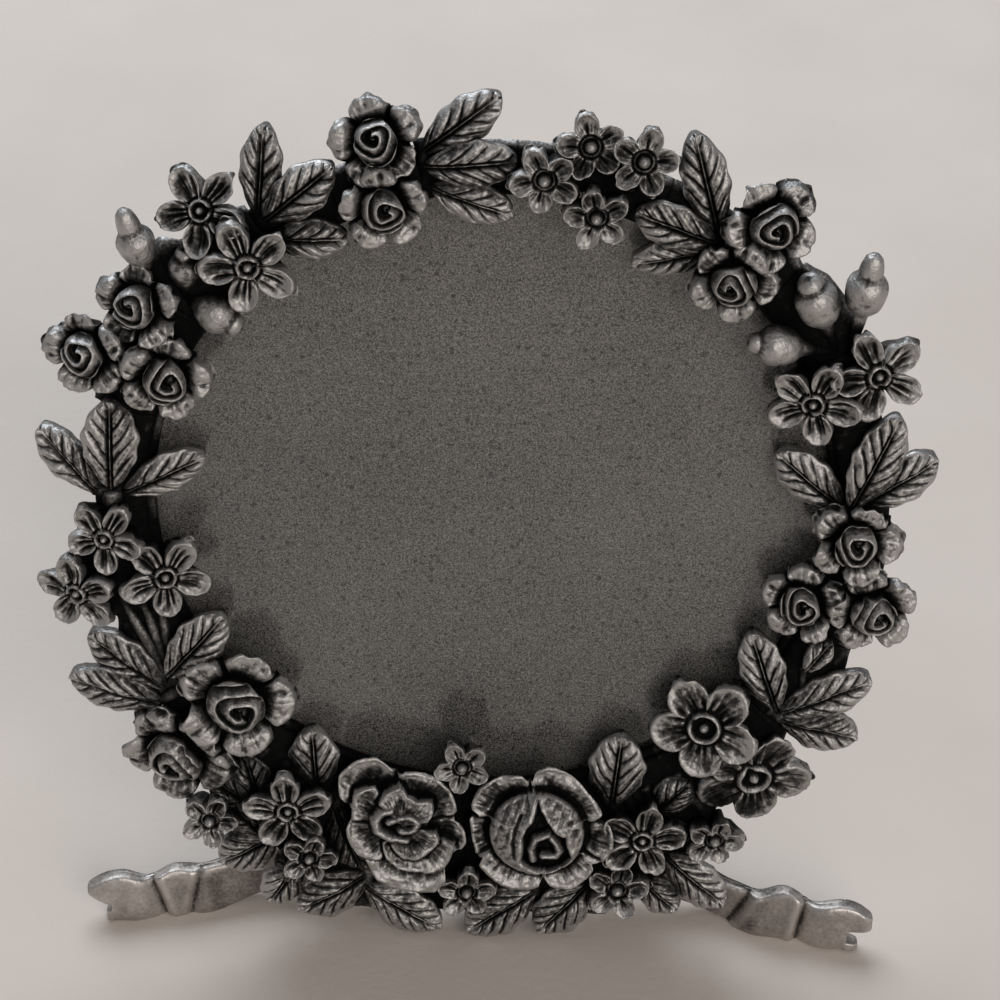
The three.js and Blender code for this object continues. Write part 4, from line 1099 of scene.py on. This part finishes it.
def mesh_object(name, shape, material):
    points, faces = shape
    mesh = bpy.data.meshes.new(name)
    mesh.from_pydata(in_world(points).tolist(), [], faces)
    mesh.polygons.foreach_set("use_smooth", np.ones(len(mesh.polygons), bool))
    mesh.materials.append(material)
    mesh.update()
    piece = bpy.data.objects.new(name, mesh)
    bpy.context.scene.collection.objects.link(piece)
    return piece


def paint_wear_and_shade(piece, values):
    layer = piece.data.attributes.new("wear_and_shade", "FLOAT", "POINT")
    layer.data.foreach_set("value", np.asarray(values, np.float32))


# Materials. Most values of a noise lie in this range.

NOISE_RANGE = (0.3, 0.7)


def new_material(name):
    material = bpy.data.materials.new(name)
    material.use_nodes = True
    tree = material.node_tree
    return material, tree, tree.nodes["Principled BSDF"]


def new_metal(name):
    material, tree, shader = new_material(name)
    shader.inputs["Metallic"].default_value = 1.0
    return material, tree, shader


def add_node(tree, kind, **settings):
    node = tree.nodes.new(kind)
    for name, value in settings.items():
        setattr(node, name, value)
    return node


def noise(tree, scale, detail=4.0, stretch=None):
    texture = add_node(tree, "ShaderNodeTexNoise")
    texture.inputs["Scale"].default_value = scale
    texture.inputs["Detail"].default_value = detail
    place = add_node(tree, "ShaderNodeTexCoord").outputs["Object"]
    if stretch:
        mapping = add_node(tree, "ShaderNodeMapping")
        mapping.inputs["Scale"].default_value = stretch
        tree.links.new(place, mapping.inputs["Vector"])
        place = mapping.outputs["Vector"]
    tree.links.new(place, texture.inputs["Vector"])
    return texture.outputs["Fac"]


def coloured(tree, shader, source, stops):
    """Gives a material its colours along a source's values."""
    node = add_node(tree, "ShaderNodeValToRGB")
    elements = node.color_ramp.elements
    while len(elements) < len(stops):
        elements.new(0.5)
    for element, (place, colour) in zip(elements, stops):
        element.position = place
        element.color = (*colour, 1)
    tree.links.new(source, node.inputs["Fac"])
    tree.links.new(node.outputs["Color"], shader.inputs["Base Color"])


def spread(tree, source, low_value, high_value, start=0.0, end=1.0):
    node = add_node(tree, "ShaderNodeMapRange")
    node.inputs["From Min"].default_value = start
    node.inputs["From Max"].default_value = end
    node.inputs["To Min"].default_value = low_value
    node.inputs["To Max"].default_value = high_value
    tree.links.new(source, node.inputs["Value"])
    return node.outputs["Result"]


def mixed(tree, operation, a, b):
    node = add_node(tree, "ShaderNodeMath", operation=operation)
    tree.links.new(a, node.inputs[0])
    if isinstance(b, (int, float)):
        node.inputs[1].default_value = b
    else:
        tree.links.new(b, node.inputs[1])
    return node.outputs["Value"]


def roughened(tree, shader, source, low_value, high_value, start=0.0, end=1.0):
    result = spread(tree, source, low_value, high_value, start, end)
    tree.links.new(result, shader.inputs["Roughness"])


def worn_and_shaded(tree, *layers):
    """The painted wear, patina, shade and highlights, broken up by layers of noise: each one's scale, detail
    and depth.
    """
    value = add_node(tree, "ShaderNodeAttribute", attribute_name="wear_and_shade").outputs["Fac"]
    for scale, detail, depth in layers:
        layer = spread(tree, noise(tree, scale, detail), -depth, depth, *NOISE_RANGE)
        value = mixed(tree, "ADD", value, layer)
    return value


def bumped(tree, shader, source, strength, distance):
    node = add_node(tree, "ShaderNodeBump")
    node.inputs["Strength"].default_value = strength
    node.inputs["Distance"].default_value = distance
    tree.links.new(source, node.inputs["Height"])
    tree.links.new(node.outputs["Normal"], shader.inputs["Normal"])


def antique_pewter():
    """Cast pewter, black with patina in the hollows and rubbed bright on the edges, with painted shade under
    covering parts and a painted highlight on exposed edges and the top rim.
    """
    material, tree, shader = new_metal("antique_pewter")
    value = worn_and_shaded(tree, (420, 4.0, 0.12), (3000, 3.0, 0.16))
    coloured(tree, shader, value, [
        (0.0, (0.012, 0.012, 0.012)),
        (0.28, (0.035, 0.034, 0.033)),
        (0.5, (0.075, 0.073, 0.071)),
        (0.72, (0.165, 0.16, 0.155)),
        (1.0, (0.48, 0.468, 0.455)),
    ])
    roughened(tree, shader, value, 0.75, 0.5)
    bumped(tree, shader, noise(tree, 2600, 4.0), 0.6, 0.0002)
    return material


def satin_pewter():
    """The ribbon feet's smoother pewter, darker in the folds, with painted shadow near the wreath and painted
    shade on faces turned away from the front.
    """
    material, tree, shader = new_metal("satin_pewter")
    value = worn_and_shaded(tree, (380, 6.0, 0.16), (2600, 3.0, 0.1))
    coloured(tree, shader, value, [
        (0.0, (0.02, 0.018, 0.017)),
        (0.3, (0.09, 0.082, 0.075)),
        (0.6, (0.34, 0.312, 0.29)),
        (1.0, (0.6, 0.565, 0.535)),
    ])
    roughened(tree, shader, value, 0.65, 0.45)
    bumped(tree, shader, noise(tree, 1500, 5.0), 0.5, 0.0002)
    return material


def clear_glass():
    material, tree, shader = new_material("clear_glass")
    shader.inputs["Base Color"].default_value = (0.93, 0.96, 0.96, 1)
    shader.inputs["Transmission Weight"].default_value = 1.0
    shader.inputs["IOR"].default_value = 1.47
    smears = noise(tree, 60, 5.0, (1, 1, 0.35))
    roughened(tree, shader, smears, 0.02, 0.12, 0.45, 0.75)
    bumped(tree, shader, noise(tree, 35, 2.0), 0.04, 0.0005)
    return material


def speckled_card():
    """Grey-brown card with fine dark specks."""
    material, tree, shader = new_material("speckled_card")
    cells = add_node(tree, "ShaderNodeTexVoronoi")
    cells.inputs["Scale"].default_value = 1100
    tree.links.new(add_node(tree, "ShaderNodeTexCoord").outputs["Object"], cells.inputs["Vector"])
    pick = add_node(tree, "ShaderNodeSeparateColor")
    tree.links.new(cells.outputs["Color"], pick.inputs["Color"])
    chosen = spread(tree, pick.outputs["Red"], -0.1, 0.3, 0.2, 1.0)
    speck = spread(tree, mixed(tree, "SUBTRACT", chosen, cells.outputs["Distance"]), 0, 0.6, -0.08, 0.1)
    tone = spread(tree, noise(tree, 6000, 4.0), -0.35, 1.3, *NOISE_RANGE)
    cloud = spread(tree, noise(tree, 45), -0.1, 0.1, *NOISE_RANGE)
    shade = mixed(tree, "SUBTRACT", mixed(tree, "ADD", tone, cloud), speck)
    coloured(tree, shader, shade, [
        (0.0, (0.03, 0.027, 0.026)),
        (0.5, (0.205, 0.184, 0.172)),
        (1.0, (0.4, 0.367, 0.35)),
    ])
    roughened(tree, shader, tone, 0.75, 0.95)
    bumped(tree, shader, noise(tree, 2800, 3.0), 0.3, 0.0001)
    return material


def black_board():
    """Hardboard covered in black flocked paper."""
    material, tree, shader = new_material("black_board")
    tone = noise(tree, 1800, 4.0)
    coloured(tree, shader, tone, [(0.3, (0.008, 0.008, 0.009)), (0.75, (0.03, 0.03, 0.033))])
    roughened(tree, shader, tone, 0.75, 0.95)
    shader.inputs["Sheen Weight"].default_value = 0.25
    bumped(tree, shader, noise(tree, 4200, 3.0), 0.5, 0.0002)
    return material


def plated_steel():
    material, tree, shader = new_metal("steel")
    brushed = noise(tree, 700, 4.0, (0.08, 1, 1))
    coloured(tree, shader, brushed, [(0.3, (0.42, 0.42, 0.41)), (0.7, (0.6, 0.6, 0.58))])
    roughened(tree, shader, brushed, 0.25, 0.45, *NOISE_RANGE)
    bumped(tree, shader, brushed, 0.15, 0.0001)
    return material


def dull_brass():
    material, tree, shader = new_metal("brass")
    tone = noise(tree, 500, 4.0)
    coloured(tree, shader, tone, [(0.3, (0.36, 0.24, 0.075)), (0.7, (0.55, 0.39, 0.14))])
    roughened(tree, shader, tone, 0.24, 0.42, *NOISE_RANGE)
    bumped(tree, shader, noise(tree, 1600, 2.0), 0.15, 0.0001)
    return material


MATERIALS = {
    "antique_pewter": antique_pewter(),
    "satin_pewter": satin_pewter(),
    "clear_glass": clear_glass(),
    "speckled_card": speckled_card(),
    "black_board": black_board(),
    "steel": plated_steel(),
    "brass": dull_brass(),
}


def dress_nodes():
    """Gives each carried-over solid the material of its slot."""
    for part in frame["record"]["subparts"]:
        piece = nodes[part["node"]]
        piece.data.materials.clear()
        piece.data.materials.append(MATERIALS[part["material_slot"]])


def dress_wreath():
    """Builds the ring and the sprigs, and paints their patina, shade and highlights together."""
    shapes = {"wreath_ring": wreath_ring()}
    tones = {"wreath_ring": np.full(len(shapes["wreath_ring"][0]), GROUND_TONE)}
    for number, (name, (start, end, ornaments)) in enumerate(SPRIGS.items()):
        on_web = name in ON_WEB
        pieces = [(pad(start, end, on_web, WIDE_GROUND.get(name, PAD_OUTER)), GROUND_TONE)]
        for place, (kind, clock, out, heading, *sizes) in enumerate(ornaments):
            pieces += ornament(kind, clock, out, heading, sizes, on_web, number + 0.37 * place)
        shapes["sprig_" + name] = gathered([shape for shape, _ in pieces])
        tones["sprig_" + name] = np.concatenate([np.full(len(shape[0]), tone) for shape, tone in pieces])
    field = height_map(shapes.values())
    maps = [(blurred(field, width), weight) for width, weight in BLURS]
    for node, shape in shapes.items():
        piece = mesh_object("cast_" + node, shape, MATERIALS["antique_pewter"])
        paint_wear_and_shade(piece, wear_and_shade(shape, tones[node], field, maps))
        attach(piece, "frame")
        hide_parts(node)


def dress_feet():
    for name in ("left", "right"):
        shape = ribbon_foot(name)
        piece = mesh_object("cast_foot_" + name, shape, MATERIALS["satin_pewter"])
        piece.data.set_sharp_from_angle(angle=FOOT_SHARP_ANGLE)
        paint_wear_and_shade(piece, foot_wear_and_shade(shape))
        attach(piece, "frame")
        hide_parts("ribbon_foot_" + name)


# The studio, in metres.

FLOOR_REACH = 3.0
LIGHT_TARGET = Vector((0, 0, 0.05))
WORLD_COLOUR = (0.62, 0.62, 0.64, 1)
WORLD_STRENGTH = 0.38


def floor():
    reach = FLOOR_REACH
    mesh = bpy.data.meshes.new("floor")
    corners = [(-reach, -reach, 0), (reach, -reach, 0), (reach, reach, 0), (-reach, reach, 0)]
    mesh.from_pydata(corners, [], [(0, 1, 2, 3)])
    material, tree, shader = new_material("pale_floor")
    tone = noise(tree, 30, 3.0)
    coloured(tree, shader, tone, [(0.3, (0.61, 0.545, 0.49)), (0.7, (0.65, 0.585, 0.53))])
    shader.inputs["Roughness"].default_value = 0.9
    bumped(tree, shader, noise(tree, 900, 2.0), 0.2, 0.0003)
    mesh.materials.append(material)
    ground = bpy.data.objects.new("floor", mesh)
    bpy.context.scene.collection.objects.link(ground)


def softbox(name, place, size, power, colour):
    lamp = bpy.data.lights.new(name, "AREA")
    lamp.shape = "RECTANGLE"
    lamp.size, lamp.size_y = size
    lamp.energy = power
    lamp.color = colour
    box = bpy.data.objects.new(name, lamp)
    aim = LIGHT_TARGET - Vector(place)
    box.matrix_world = Matrix.Translation(place) @ aim.to_track_quat("-Z", "Y").to_matrix().to_4x4()
    bpy.context.scene.collection.objects.link(box)


def studio():
    scene = bpy.context.scene
    scene.view_settings.view_transform = "Standard"
    world = bpy.data.worlds.new("studio")
    world.use_nodes = True
    background = world.node_tree.nodes["Background"]
    background.inputs["Color"].default_value = WORLD_COLOUR
    background.inputs["Strength"].default_value = WORLD_STRENGTH
    scene.world = world
    softbox("window_light", place=(-0.2, 0.55, 0.75), size=(0.8, 0.6), power=7.5, colour=(0.86, 0.93, 1.0))
    softbox("front_fill", place=(0.35, -0.8, 0.55), size=(0.6, 0.6), power=4.0, colour=(1.0, 0.93, 0.87))


def camera():
    lens = bpy.data.cameras.new("camera")
    lens.lens = LENS
    lens.sensor_width = SENSOR_WIDTH
    lens.shift_x, lens.shift_y = SHIFT
    lens.clip_start = 0.01
    direction = Vector((0, -math.cos(ELEVATION), math.sin(ELEVATION)))
    look = (-direction).to_track_quat("-Z", "Y").to_matrix().to_4x4()
    eye = bpy.data.objects.new("camera", lens)
    place = Matrix.Translation(Vector(MIDDLE / 1000) + DISTANCE * direction)
    eye.matrix_world = place @ look @ Matrix.Rotation(ROLL, 4, "Z")
    bpy.context.scene.collection.objects.link(eye)
    bpy.context.scene.camera = eye


dress_nodes()
dress_wreath()
dress_feet()
floor()
studio()
camera()
